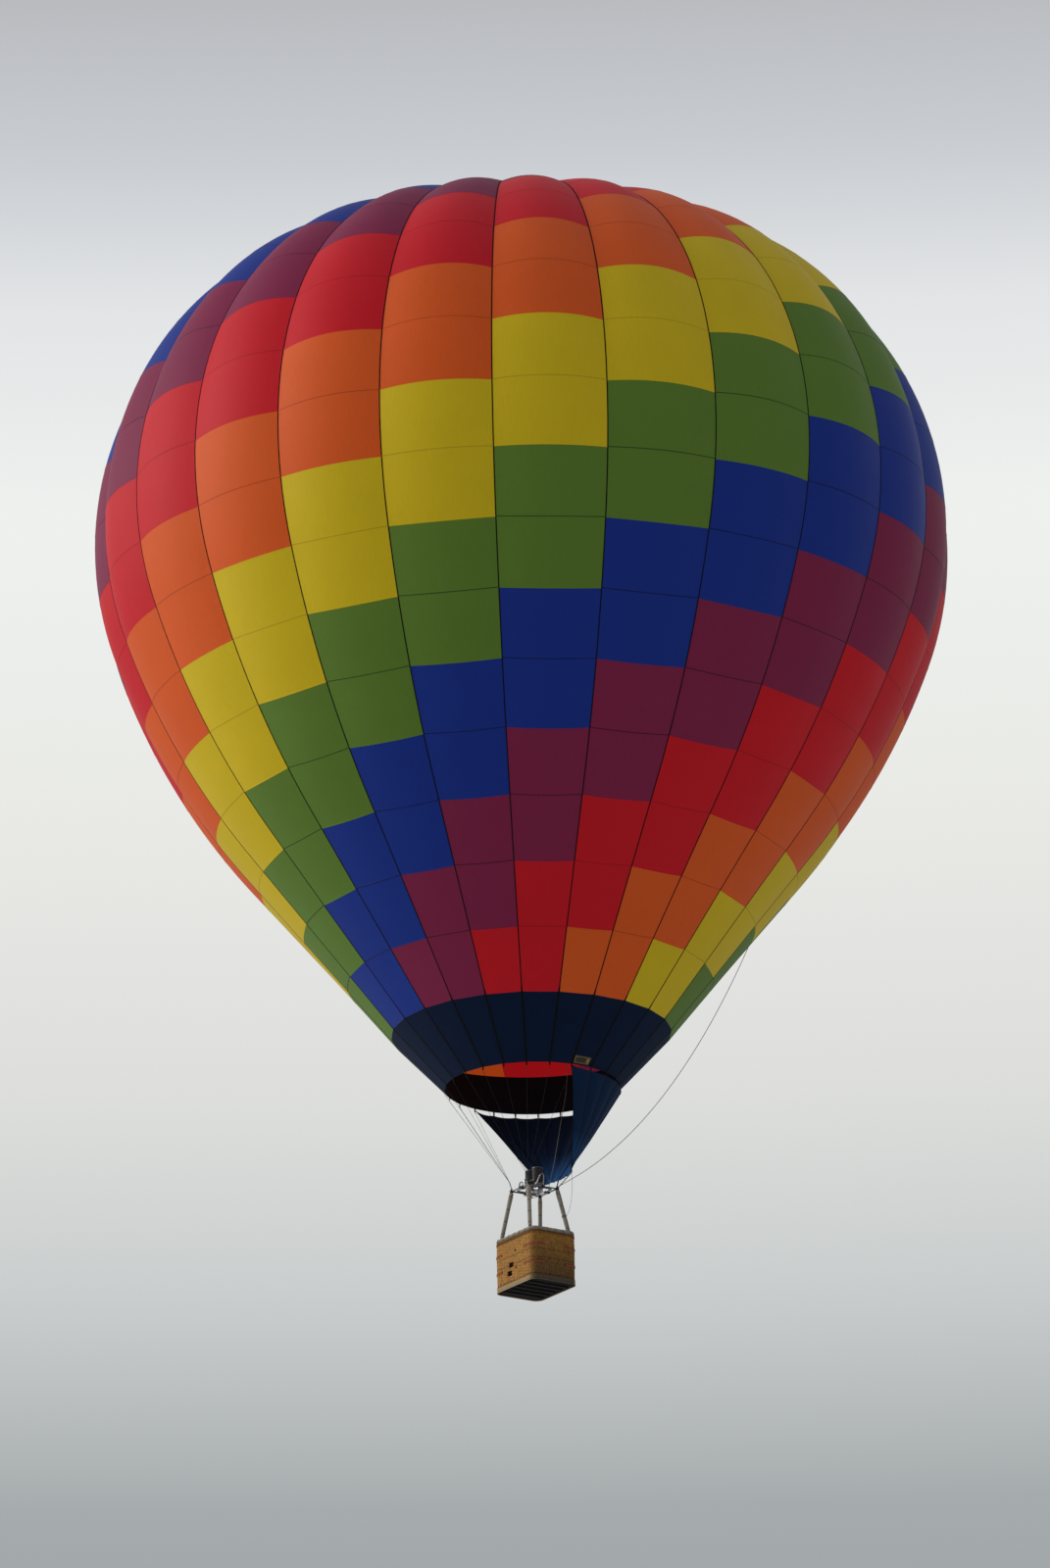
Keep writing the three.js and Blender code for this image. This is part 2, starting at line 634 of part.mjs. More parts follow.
// Wicker wall, with slots for the cylinder straps and two foot holes in the -Y side
const wallTop = rimBottom - SEAT;
const wallBar = barRound(basketOutline, [
  [-BASKET.wall, WALL_BOTTOM],
  [0, WALL_BOTTOM],
  [0, wallTop],
  [-BASKET.wall, wallTop],
]);
const cornerX = BASKET.halfX - BASKET.corner;
const cornerY = BASKET.halfY - BASKET.corner;
const slotX = cornerX - CYLINDER.radius - SEAT - STRAP.thickness / 2;
const slotY = cornerY - CYLINDER.radius - SEAT - STRAP.thickness / 2;
const wallCuts = STEP_HOLES.map(
  ({ x, z }) => box(STEP_HOLE.width, 3 * BASKET.wall, STEP_HOLE.height, x, -BASKET.halfY, z),
);
for (const { sideX, sideY } of FRAME_CORNERS) {
  for (const z of STRAP_HEIGHTS) {
    wallCuts.push(
      box(STRAP.slotWidth, 3 * BASKET.wall, STRAP.slotHeight, sideX * slotX, sideY * BASKET.halfY, z),
      box(3 * BASKET.wall, STRAP.slotWidth, STRAP.slotHeight, sideX * BASKET.halfX, sideY * slotY, z),
    );
  }
}
addPiece('wicker_wall', joined([wallBar], wallCuts), WICKER);

// Floor board with its runners
const floorOutline = basketOutline.map(({ x, y, nx, ny }) => new THREE.Vector2(
  x - nx * (BASKET.wall + SEAT),
  y - ny * (BASKET.wall + SEAT),
));
const board = new THREE.ExtrudeGeometry(new THREE.Shape(floorOutline), {
  depth: FLOOR_THICKNESS,
  bevelEnabled: false,
}).translate(0, 0, FLOOR_BOTTOM);
const runners = Array.from({ length: RUNNER.count }, (_, k) => box(
  RUNNER.width,
  RUNNER.length,
  RUNNER.height + 2,
  (k - (RUNNER.count - 1) / 2) * RUNNER.pitch,
  0,
  FLOOR_BOTTOM - RUNNER.height / 2 + 1,
));
addPiece('floor_board', joined([board, ...runners]), PLYWOOD);

// Rawhide hem round the wall's foot
addPiece('rawhide_hem', barRound(basketOutline, [
  [SEAT, HEM.bottom],
  [SEAT + HEM.thickness, HEM.bottom],
  [SEAT + HEM.thickness, HEM.top],
  [SEAT, HEM.top],
]), RAWHIDE);

// Fuel cylinders in padded jackets, one in each corner
const CYLINDER_BOTTOM = FLOOR_BOTTOM + FLOOR_THICKNESS + SEAT;
const CYLINDER_TOP = CYLINDER_BOTTOM + CYLINDER.height;
for (const { number, sideX, sideY } of FRAME_CORNERS) {
  const cylinder = turned([
    [0, CYLINDER_BOTTOM],
    [CYLINDER.radius, CYLINDER_BOTTOM],
    [CYLINDER.radius, CYLINDER_TOP - CYLINDER.collarHeight - CYLINDER.shoulder],
    [CYLINDER.collar, CYLINDER_TOP - CYLINDER.collarHeight],
    [CYLINDER.collar, CYLINDER_TOP],
    [0, CYLINDER_TOP],
  ]).translate(sideX * cornerX, sideY * cornerY, 0);
  addPiece(`fuel_cylinder_${number}`, cylinder, JACKET);
}

// Straps: each goes round the outside of a corner and back through the wall round the cylinder
function strapLoop(thickness) {
  const wallRadius = BASKET.corner + SEAT + thickness;
  const tankRadius = CYLINDER.radius + SEAT + thickness;
  const points = [[cornerX - tankRadius, cornerY + wallRadius]];
  for (let step = 0; step <= CORNER_STEPS; step += 1) {
    const angle = radians(90 - (90 * step) / CORNER_STEPS);
    points.push([cornerX + wallRadius * Math.cos(angle), cornerY + wallRadius * Math.sin(angle)]);
  }
  points.push([cornerX + wallRadius, cornerY - tankRadius]);
  for (let step = 0; step <= CORNER_STEPS; step += 1) {
    const angle = radians(270 - (90 * step) / CORNER_STEPS);
    points.push([cornerX + tankRadius * Math.cos(angle), cornerY + tankRadius * Math.sin(angle)]);
  }
  return points.map(([x, y]) => new THREE.Vector2(x, y));
}

const strapShape = new THREE.Shape(strapLoop(STRAP.thickness));
strapShape.holes.push(new THREE.Path(strapLoop(0).reverse()));
for (const { number, sideX, sideY } of FRAME_CORNERS) {
  STRAP_HEIGHTS.forEach((z, level) => {
    const strap = new THREE.ExtrudeGeometry(strapShape, { depth: STRAP.width, bevelEnabled: false })
      .translate(0, 0, z - STRAP.width / 2)
      .scale(sideX, sideY, 1);
    addPiece(`strap_${number}_${level === 0 ? 'upper' : 'lower'}`, weld(strap), WEBBING);
  });
}

// Crown line
const lineSection = new THREE.Shape(Array.from({ length: 8 }, (_, k) => new THREE.Vector2(
  CROWN_LINE_RADIUS * Math.cos((k * Math.PI) / 4),
  CROWN_LINE_RADIUS * Math.sin((k * Math.PI) / 4),
)));
const linePath = new THREE.CatmullRomCurve3(
  CROWN_LINE_POINTS.map((point) => new THREE.Vector3(...point)),
  false,
  'centripetal',
);
addPiece('crown_line', weld(new THREE.ExtrudeGeometry(lineSection, {
  steps: 80,
  extrudePath: linePath,
})), ROPE);

export default balloon;
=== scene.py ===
# %% [markdown]
# # A hot air balloon
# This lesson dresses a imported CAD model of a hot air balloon. The CAD model fixes every size, place and
# joint. Here each plain solid gets the surface that the eye sees: sewn nylon gores, load tapes, a
# fireproof scoop, a double burner with its coils, and a basket woven from willow. All lengths are in
# metres, +Z is up, and the origin is on the envelope's axis at the height of its widest ring.

# %% Load the frame
import math

import bpy
from mathutils import Matrix, Vector, noise


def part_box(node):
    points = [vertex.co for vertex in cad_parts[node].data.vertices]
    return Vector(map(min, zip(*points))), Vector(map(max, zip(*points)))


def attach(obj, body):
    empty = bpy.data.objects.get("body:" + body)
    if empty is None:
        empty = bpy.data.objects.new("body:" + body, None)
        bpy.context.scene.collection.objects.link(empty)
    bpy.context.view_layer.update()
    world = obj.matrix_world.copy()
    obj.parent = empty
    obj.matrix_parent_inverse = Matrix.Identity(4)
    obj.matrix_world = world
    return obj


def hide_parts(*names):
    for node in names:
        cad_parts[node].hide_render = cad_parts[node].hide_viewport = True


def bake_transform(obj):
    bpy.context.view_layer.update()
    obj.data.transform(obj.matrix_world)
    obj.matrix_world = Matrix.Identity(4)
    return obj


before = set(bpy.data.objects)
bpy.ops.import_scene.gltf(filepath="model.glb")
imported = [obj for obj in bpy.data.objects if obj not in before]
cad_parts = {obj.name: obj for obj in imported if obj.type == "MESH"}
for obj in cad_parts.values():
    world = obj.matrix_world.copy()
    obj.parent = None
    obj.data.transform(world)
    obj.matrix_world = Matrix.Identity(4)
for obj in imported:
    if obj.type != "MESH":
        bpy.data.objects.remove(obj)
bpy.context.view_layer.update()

# %% [markdown]
# ## Camera
# The photo was taken from the ground with a long lens, about 160 m away, and looks up by 20 degrees. A
# lens that long flattens the balloon, so the focal length matters as much as the place. The camera
# stands at eye height over the floor, so the floor is far below the basket.

# %% Camera
PHOTO_HEIGHT_PX = 1600
FOCAL_PX = 7987
SENSOR = 36
CAMERA_PLACE = Vector((130.7, -88.2, -61.88))
CAMERA_TURN = math.radians(56.0)
CAMERA_UP = math.radians(19.75)
CAMERA_ROLL = math.radians(1.084)
EYE_HEIGHT = 1.6
NEAREST, FURTHEST = 1, 5000
FLOOR_Z = CAMERA_PLACE.z - EYE_HEIGHT


def look_matrix(turn, up, roll):
    """The camera's turn: its right, its up, and its back as columns."""
    ahead = Vector((-math.sin(turn) * math.cos(up), math.cos(turn) * math.cos(up), math.sin(up)))
    right = Vector((math.cos(turn), math.sin(turn), 0))
    top = right.cross(ahead)
    rolled_right = math.cos(roll) * right - math.sin(roll) * top
    rolled_top = math.sin(roll) * right + math.cos(roll) * top
    return Matrix((rolled_right, rolled_top, -ahead)).transposed()


def new_object(name, data):
    """Adds an object to the scene."""
    made = bpy.data.objects.new(name, data)
    bpy.context.scene.collection.objects.link(made)
    return made


camera = new_object("camera", bpy.data.cameras.new("camera"))
camera.data.sensor_width = SENSOR
camera.data.lens = FOCAL_PX / PHOTO_HEIGHT_PX * SENSOR
camera.data.clip_start = NEAREST
camera.data.clip_end = FURTHEST
camera.matrix_world = Matrix.Translation(CAMERA_PLACE) @ look_matrix(
    CAMERA_TURN, CAMERA_UP, CAMERA_ROLL).to_4x4()
bpy.context.scene.camera = camera
print("camera", round(camera.data.lens, 1), "mm lens")

# %% [markdown]
# ## Small tools for meshes
# Nearly every piece here is a skin over a row of sections: a tape, a tube, a padded roll, a strap. One
# `loft` makes them all, and `turned` is a loft whose sections are circles. `shell` is for cloth, which
# has an outer and an inner face. A mesh made this way is closed, so it exports as a clean solid.

# %% Mesh tools
def loft(sections, ring=False):
    """A skin over closed sections with the same number of points, capped unless it runs in a ring."""
    count = len(sections[0])
    vertices = [tuple(point) for section in sections for point in section]
    faces = []
    spans = len(sections) if ring else len(sections) - 1
    for i in range(spans):
        here, there = i * count, (i + 1) % len(sections) * count
        for k in range(count):
            over = (k + 1) % count
            faces.append((here + k, here + over, there + over, there + k))
    if not ring:
        last = (len(sections) - 1) * count
        faces.append(tuple(reversed(range(count))))
        faces.append(tuple(range(last, last + count)))
    return vertices, faces


def merged(parts):
    """Several (vertices, faces) meshes as one."""
    vertices, faces = [], []
    for part_vertices, part_faces in parts:
        start = len(vertices)
        vertices.extend(part_vertices)
        faces.extend(tuple(start + i for i in face) for face in part_faces)
    return vertices, faces


def placed(part, matrix):
    vertices, faces = part
    return [tuple(matrix @ Vector(v)) for v in vertices], faces


def circle(radius, sides, start=0.0):
    angles = [start + 2 * math.pi * k / sides for k in range(sides)]
    return [(radius * math.cos(a), radius * math.sin(a)) for a in angles]


NEARLY_UPRIGHT = 0.05


def frames_along(points, ring=False):
    """For each point of a line, two directions across it, carried along without twist."""
    count = len(points)
    found = []
    side = None
    for i, point in enumerate(points):
        before = points[i - 1] if ring or i else point
        after = points[(i + 1) % count] if ring or i < count - 1 else point
        ahead = (after - before).normalized()
        if side is None:
            side = ahead.cross(Vector((0, 0, 1)))
            if side.length < NEARLY_UPRIGHT:
                side = ahead.cross(Vector((0, 1, 0)))
        side = (side - side.dot(ahead) * ahead).normalized()
        found.append((side, ahead.cross(side)))
    return found


def swept(points, section, ring=False):
    """A section of (across, up) points swept along a line."""
    points = [Vector(p) for p in points]
    across = frames_along(points, ring)
    return loft([[p + s * a + u * b for a, b in section] for p, (s, u) in zip(points, across)], ring)


def rod(start, end, radius, sides=12):
    return swept([start, end], circle(radius, sides))


def turned(profile, sides=32, centre=(0, 0, 0)):
    """A turned piece about Z. A profile that closes on itself makes a ring, any other is capped."""
    closed = profile[0] == profile[-1]
    rows = profile[:-1] if closed else profile
    sections = [[(centre[0] + r * c, centre[1] + r * s, centre[2] + z) for c, s in circle(1, sides)]
                for r, z in rows]
    return loft(sections, ring=closed)


def block(size, centre):
    """A block to be bevelled: eight corners round a centre."""
    x, y, z = (s / 2 for s in size)
    flat = [(-x, -y), (x, -y), (x, y), (-x, y)]
    part = loft([[(a, b, -z) for a, b in flat], [(a, b, z) for a, b in flat]])
    return placed(part, Matrix.Translation(centre))


def shell(outer, inner, ring=False):
    """Cloth between two grids of points. Rows run down it and columns run round it."""
    rows, columns = len(outer), len(outer[0])
    vertices = [tuple(p) for grid in (outer, inner) for row in grid for p in row]
    spans = columns if ring else columns - 1

    def at(layer, row, column):
        return (layer * rows + row) * columns + column % columns

    faces = []
    for row in range(rows - 1):
        for k in range(spans):
            faces.append((at(0, row, k), at(0, row + 1, k), at(0, row + 1, k + 1), at(0, row, k + 1)))
            faces.append((at(1, row, k), at(1, row, k + 1), at(1, row + 1, k + 1), at(1, row + 1, k)))
    last = rows - 1
    for k in range(spans):
        faces.append((at(0, 0, k), at(0, 0, k + 1), at(1, 0, k + 1), at(1, 0, k)))
        faces.append((at(0, last, k), at(1, last, k), at(1, last, k + 1), at(0, last, k + 1)))
    if not ring:
        for row in range(last):
            faces.append((at(0, row, 0), at(1, row, 0), at(1, row + 1, 0), at(0, row + 1, 0)))
            faces.append((at(0, row, spans), at(0, row + 1, spans),
                          at(1, row + 1, spans), at(1, row, spans)))
    return vertices, faces


# %% [markdown]
# A piece is a mesh object that knows three things: the finish it has, the CAD body it rides on, and the
# CAD nodes it stands for. Hard pieces get a small bevel, because a real edge is never knife sharp and the
# thin highlight along it is what makes metal look like metal.

# %% Pieces
TRIANGLES = {}


def piece(name, part, material, body="root", stands_for=(), bevel=0.0, crease=40):
    """Makes one named piece that rides on a body and stands for CAD nodes."""
    vertices, faces = part
    mesh = bpy.data.meshes.new(name)
    mesh.from_pydata(vertices, [], faces)
    mesh.validate()
    for finish in material if isinstance(material, (list, tuple)) else [material]:
        mesh.materials.append(finish)
    mesh.polygons.foreach_set("use_smooth", [True] * len(mesh.polygons))
    mesh.set_sharp_from_angle(angle=math.radians(crease))
    made = new_object(name, mesh)
    if bevel:
        edge = made.modifiers.new("soft_edges", "BEVEL")
        edge.width = bevel
        edge.segments = 2
        edge.limit_method = "ANGLE"
    if body:
        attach(made, body)
    if stands_for:
        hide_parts(*stands_for)
    TRIANGLES[name] = sum(len(face) - 2 for face in faces)
    return made


# %% [markdown]
# ## Small tools for materials
# Colours are written as the hex values that a paint program shows. Blender shades in linear light, so one
# function turns them. Another adds a node, sets its fields and inputs, and links what it is given.

# %% Material tools
def linear(hex_code):
    """An sRGB hex colour as linear red, green, blue and alpha."""
    shares = [int(hex_code[i:i + 2], 16) / 255 for i in (1, 3, 5)]
    return tuple(s / 12.92 if s <= 0.04045 else ((s + 0.055) / 1.055) ** 2.4 for s in shares) + (1.0,)


def add(tree, kind, inputs=None, **fields):
    """Adds a node. An input is a value, an output to link, or a node to link by its first output."""
    made = tree.nodes.new(kind)
    for key, value in fields.items():
        setattr(made, key, value)
    for key, value in (inputs or {}).items():
        if isinstance(value, bpy.types.Node):
            value = value.outputs[0]
        if isinstance(value, bpy.types.NodeSocket):
            tree.links.new(value, made.inputs[key])
        else:
            made.inputs[key].default_value = value
    return made


def empty_material(name):
    made = bpy.data.materials.new(name)
    made.use_nodes = True
    made.node_tree.nodes.clear()
    return made, made.node_tree


def shades(hex_code, amount):
    """A darker and a lighter shade of one colour."""
    colour = linear(hex_code)
    return (tuple(c * (1 - amount) for c in colour[:3]) + (1.0,),
            tuple(min(1.0, c * (1 + amount)) for c in colour[:3]) + (1.0,))


def finish_surface(tree, colour, bump_height, distance, roughness, **settings):
    """Ends a material: one Principled shader with its bump, joined to the output."""
    bump = add(tree, "ShaderNodeBump", {"Height": bump_height, "Distance": distance, "Strength": 1.0})
    inputs = {"Base Color": colour, "Roughness": roughness, "Normal": bump}
    inputs.update({key.replace("_", " "): value for key, value in settings.items()})
    shader = add(tree, "ShaderNodeBsdfPrincipled", inputs)
    add(tree, "ShaderNodeOutputMaterial", {"Surface": shader})


# %% [markdown]
# ## Ripstop nylon
# An envelope is sewn from coated ripstop nylon of about 65 g per square metre. It is thin and tight, with
# a soft satin sheen from its polyurethane coat. The ripstop threads make squares of 5 mm, which are far
# too fine for this view, so they are drawn 70 mm apart. Near the load tapes the cloth is gathered, which
# gives short puckers across the tape. The sky shines through such thin cloth, so both faces get a painted
# glow, a weak emission in their own colour: the outer in a deeper shade, and the inner more strongly.

# %% Ripstop nylon
RIPSTOP_SHOWN = 0.07
RIPSTOP_RELIEF = 0.06
PUCKER_LENGTH = 0.11
FADE_SCALE = 0.8
# Stretch of the painted light and shade of soft creases.
PAINTED_CREASE_SCALE = (26.0, 3.0, 1.0)
DRIFT = 0.12


def ripstop_nylon(name, hex_code, glow=0.055, depth=1.35):
    material, tree = empty_material(name)
    deeper = [share ** depth for share in linear(hex_code)[:3]] + [1.0]
    cloth = add(tree, "ShaderNodeTexCoord").outputs["UV"]
    cloud = add(tree, "ShaderNodeTexNoise", {"Vector": cloth, "Scale": FADE_SCALE, "Detail": 4.0})
    # Stretched noise paints the light and shade of soft creases into the colour.
    stretched = add(tree, "ShaderNodeMapping", {"Vector": cloth, "Scale": PAINTED_CREASE_SCALE})
    creases = add(tree, "ShaderNodeTexNoise", {"Vector": stretched, "Scale": 1.0, "Detail": 3.0})
    squares = add(tree, "ShaderNodeTexBrick", {
        "Vector": cloth, "Scale": 1 / RIPSTOP_SHOWN, "Mortar Size": 0.035, "Brick Width": 1.0,
        "Row Height": 1.0, "Color1": (0, 0, 0, 1), "Color2": (0, 0, 0, 1), "Mortar": (1, 1, 1, 1),
    }, offset=0.0)
    tone = add(tree, "ShaderNodeMath", {0: cloud, 1: creases}, operation="ADD")
    half = add(tree, "ShaderNodeMath", {0: tone, 1: 0.5}, operation="MULTIPLY")
    dark, light = shades(hex_code, DRIFT)
    colour = add(tree, "ShaderNodeMixRGB", {"Fac": half, "Color1": dark, "Color2": light})
    edge = add(tree, "ShaderNodeAttribute", attribute_name="near_tape")
    close = add(tree, "ShaderNodeMath", {0: edge.outputs["Fac"], 1: 5.0}, operation="POWER")
    across_tape = add(tree, "ShaderNodeMapping", {"Vector": cloth, "Scale": (2.0, 1 / PUCKER_LENGTH, 1.0)})
    puckers = add(tree, "ShaderNodeTexNoise", {"Vector": across_tape, "Scale": 1.0})
    gathered = add(tree, "ShaderNodeMath", {0: puckers, 1: close}, operation="MULTIPLY")
    height = add(tree, "ShaderNodeMath", {0: squares.outputs["Fac"], 1: RIPSTOP_RELIEF, 2: gathered},
                 operation="MULTIPLY_ADD")
    # The emission is a painted glow, for sky light through the cloth.
    finish_surface(tree, colour, height, 0.010, 0.55, IOR=1.53, Specular_IOR_Level=0.08, Sheen_Weight=0.03,
                   Sheen_Roughness=0.5, Emission_Color=deeper, Emission_Strength=glow)
    return material


# Name, colour, and how bright the doubled cloth of a seam is beside it.
PANEL_COLOURS = [
    ("red", "#be1520", 0.86),
    ("plum", "#7a2042", 0.6),
    ("blue", "#162f80", 0.58),
    ("green", "#59762a", 0.6),
    ("yellow", "#c6ab18", 0.88),
    ("orange", "#ce551d", 0.84),
]


def darker(hex_code, share):
    """The hex colour of a shade, for the double cloth and thread of a seam."""
    return "#" + "".join(f"{round(int(hex_code[i:i + 2], 16) * share):02x}" for i in (1, 3, 5))


NYLON = [ripstop_nylon(f"ripstop_nylon_{n}", h) for n, h, _ in PANEL_COLOURS]
NYLON_SEAM = [ripstop_nylon(f"ripstop_seam_{n}", darker(h, share)) for n, h, share in PANEL_COLOURS]
# The inner faces get a stronger painted glow.
NYLON_INSIDE = [ripstop_nylon(f"ripstop_inside_{n}", h, glow=0.36, depth=1.0) for n, h, _ in PANEL_COLOURS]
print(len(NYLON), "colours of ripstop nylon")

# %% [markdown]
# ## Other cloth, leather, wood and metal
# Four more makers of materials serve the rest. A woven cloth has threads that cross. Suede and rawhide
# have a cloudy grain. Cane and plywood have a grain that runs one way. Metal has fine scratches and a tint
# that drifts where heat or weather has stained it. Threads, fibres and scratches are all too fine for this
# view, so each is drawn as coarse as it needs to show.

# %% Woven cloth
WAVE_REPEAT = 0.314     # metres between the bands of a wave texture at scale 1
# Painted light: the scoop turns bluer between these heights, and these reaches to the view's right.
LIT_FROM, LIT_TO = -13.25, -14.0
LIT_SIDE = (0.559, 0.829, 0)
LIT_SIDE_FROM, LIT_SIDE_TO = 0.05, 0.45


def woven_cloth(name, hex_code, thread, roughness=0.8, fade=0.15, sheen=0.08, relief=0.002, shine=0.2,
                painted_light_hex=None):
    """Cloth with threads that cross, the given distance apart. Low and right, painted light can tint it."""
    material, tree = empty_material(name)
    place = add(tree, "ShaderNodeTexCoord").outputs["Object"]
    cloud = add(tree, "ShaderNodeTexNoise", {"Vector": place, "Scale": 3.0, "Detail": 5.0})
    dark, light = shades(hex_code, fade)
    colour = add(tree, "ShaderNodeMixRGB", {"Fac": cloud, "Color1": dark, "Color2": light})
    if painted_light_hex:
        height = add(tree, "ShaderNodeSeparateXYZ", {"Vector": place}).outputs["Z"]
        low = add(tree, "ShaderNodeMapRange", {"Value": height, "From Min": LIT_FROM, "From Max": LIT_TO})
        sideways = add(tree, "ShaderNodeVectorMath", {0: place, 1: LIT_SIDE}, operation="DOT_PRODUCT")
        right = add(tree, "ShaderNodeMapRange", {
            "Value": sideways.outputs["Value"], "From Min": LIT_SIDE_FROM, "From Max": LIT_SIDE_TO,
        }, interpolation_type="SMOOTHSTEP")
        both = add(tree, "ShaderNodeMath", {0: low, 1: right}, operation="MULTIPLY")
        colour = add(tree, "ShaderNodeMixRGB", {"Fac": both, "Color1": colour, "Color2": linear(painted_light_hex)})
    bands = {"Vector": place, "Scale": WAVE_REPEAT / thread, "Distortion": 1.0}
    weft = add(tree, "ShaderNodeTexWave", bands, bands_direction="Z")
    warp = add(tree, "ShaderNodeTexWave", bands, bands_direction="DIAGONAL")
    height = add(tree, "ShaderNodeMath", {0: weft.outputs["Fac"], 1: warp.outputs["Fac"]},
                 operation="MAXIMUM")
    finish_surface(tree, colour, height, relief, roughness, IOR=1.5, Specular_IOR_Level=shine,
                   Sheen_Weight=sheen)
    return material


# %% Suede and rawhide
# Colour of the painted shade on the basket's +X end.
PAINTED_SHADE = "#2a251b"
# Painted shade grows along X, and down the wall, from its first place to its second.
PAINTED_SHADE_STARTS, PAINTED_SHADE_FULL = 0.52, 0.74
PAINTED_SHADE_TOP, PAINTED_SHADE_FOOT = -15.40, -16.45
THIN_PAINTED_SHADE, THICK_PAINTED_SHADE = 0.10, 0.80


def painted_shade_end(tree, place, colour):
    """Painted shade on the basket's +X end, the side away from the sun, thicker near the floor."""
    spot = add(tree, "ShaderNodeSeparateXYZ", {"Vector": place})
    out = add(tree, "ShaderNodeMapRange", {
        "Value": spot.outputs["X"], "From Min": PAINTED_SHADE_STARTS, "From Max": PAINTED_SHADE_FULL})
    low = add(tree, "ShaderNodeMapRange", {
        "Value": spot.outputs["Z"], "From Min": PAINTED_SHADE_TOP, "From Max": PAINTED_SHADE_FOOT,
        "To Min": THIN_PAINTED_SHADE, "To Max": THICK_PAINTED_SHADE})
    share = add(tree, "ShaderNodeMath", {0: out, 1: low}, operation="MULTIPLY")
    return add(tree, "ShaderNodeMixRGB", {"Fac": share, "Color1": colour, "Color2": linear(PAINTED_SHADE)})


def hide(name, hex_code, roughness, grain=0.03, wear=0.25, with_painted_shade=False):
    """Leather with a cloudy nap and paler, worn patches."""
    material, tree = empty_material(name)
    place = add(tree, "ShaderNodeTexCoord").outputs["Object"]
    nap = add(tree, "ShaderNodeTexNoise", {"Vector": place, "Scale": 1 / grain, "Detail": 6.0})
    patches = add(tree, "ShaderNodeTexNoise", {"Vector": place, "Scale": 4.0, "Detail": 2.0})
    dark, light = shades(hex_code, wear)
    tone = add(tree, "ShaderNodeMath", {0: patches, 1: 0.7, 2: 0.15}, operation="MULTIPLY_ADD")
    colour = add(tree, "ShaderNodeMixRGB", {"Fac": tone, "Color1": dark, "Color2": light})
    if with_painted_shade:
        colour = painted_shade_end(tree, place, colour)
    finish_surface(tree, colour, nap, 0.003, roughness, IOR=1.5, Specular_IOR_Level=0.25, Sheen_Weight=0.1)
    return material


# %% Cane and plywood
def grained_wood(name, dark_hex, light_hex, grain, roughness, along=(1, 1, 0.05), shine=0.3,
                 with_painted_shade=False):
    """Wood whose grain runs along the axis that is scaled least."""
    material, tree = empty_material(name)
    place = add(tree, "ShaderNodeTexCoord").outputs["Object"]
    run = add(tree, "ShaderNodeMapping", {"Vector": place, "Scale": along})
    fibre = add(tree, "ShaderNodeTexNoise", {"Vector": run, "Scale": 1 / grain, "Detail": 5.0})
    rods = add(tree, "ShaderNodeTexNoise", {"Vector": place, "Scale": 14.0, "Detail": 3.0})
    tone = add(tree, "ShaderNodeMath", {0: fibre, 1: rods}, operation="MULTIPLY")
    stretched = add(tree, "ShaderNodeMath", {0: tone, 1: 2.4, 2: -0.1}, operation="MULTIPLY_ADD",
                    use_clamp=True)
    colour = add(tree, "ShaderNodeMixRGB", {
        "Fac": stretched, "Color1": linear(dark_hex), "Color2": linear(light_hex)})
    if with_painted_shade:
        colour = painted_shade_end(tree, place, colour)
    finish_surface(tree, colour, fibre, 0.001, roughness, IOR=1.5, Specular_IOR_Level=shine)
    return material


# %% Metal
def metal(name, hex_code, stain_hex, roughness, scratch=0.004):
    """Bare or stained metal with fine scratches. The stain shows in slow patches."""
    material, tree = empty_material(name)
    place = add(tree, "ShaderNodeTexCoord").outputs["Object"]
    patches = add(tree, "ShaderNodeTexNoise", {"Vector": place, "Scale": 9.0, "Detail": 4.0})
    colour = add(tree, "ShaderNodeMixRGB", {
        "Fac": patches, "Color1": linear(hex_code), "Color2": linear(stain_hex)})
    fine = add(tree, "ShaderNodeTexNoise", {"Vector": place, "Scale": 1 / scratch, "Detail": 2.0})
    worn = add(tree, "ShaderNodeMath", {0: fine, 1: 0.2, 2: roughness - 0.1}, operation="MULTIPLY_ADD")
    finish_surface(tree, colour, fine, 0.0002, worn, Metallic=1.0)
    return material


# %% Finishes
# Aramid is dyed in the fibre and has no coat: a deep, dull navy with hardly any highlight.
ARAMID = woven_cloth("aramid_cloth_navy", "#0c1b33", 0.02, roughness=0.75, relief=0.001, sheen=0.02,
                     shine=0.05)
# The scoop is one layer of it, and its low right part is painted bluer for light that comes through.
SCOOP_CLOTH = woven_cloth("aramid_cloth_scoop", "#0d2440", 0.02, roughness=0.7, relief=0.001, sheen=0.02,
                          shine=0.05, painted_light_hex="#1f4d82")
# Seam tape of the same fibre is thicker and looks darker.
SEAM_NAVY = woven_cloth("aramid_seam_tape", "#0a1120", 0.006, roughness=0.8, shine=0.1)
# The valve is coated ripstop nylon again, smoother than aramid.
VALVE_CLOTH = woven_cloth("ripstop_nylon_valve", "#16224a", 0.03, roughness=0.55)
# Load tape is black polyester, woven tight. It gives back almost no light.
LOAD_TAPE = woven_cloth("polyester_load_tape", "#141112", 0.006, roughness=0.85, sheen=0.02, shine=0.05)
# The cylinder straps are dyed webbing with a paler strip along one edge.
WEBBING = woven_cloth("webbing_red", "#7a1c13", 0.005, roughness=0.8)
WEBBING_EDGE = woven_cloth("webbing_faded_edge", "#b06a44", 0.005, roughness=0.8)
# The jackets are a plain grey cloth, quilted.
JACKET = woven_cloth("cylinder_jacket_cloth", "#3c4046", 0.006)
# A braid catches light on every strand, so cords look pale and a little rough, and the hose shinier.
ROPE = woven_cloth("braided_rope", "#8f8a80", 0.006, roughness=0.85)
LINE = woven_cloth("braided_line", "#857a70", 0.004, roughness=0.85)
HOSE = woven_cloth("braided_fuel_hose", "#a39c92", 0.004, roughness=0.6, shine=0.4)
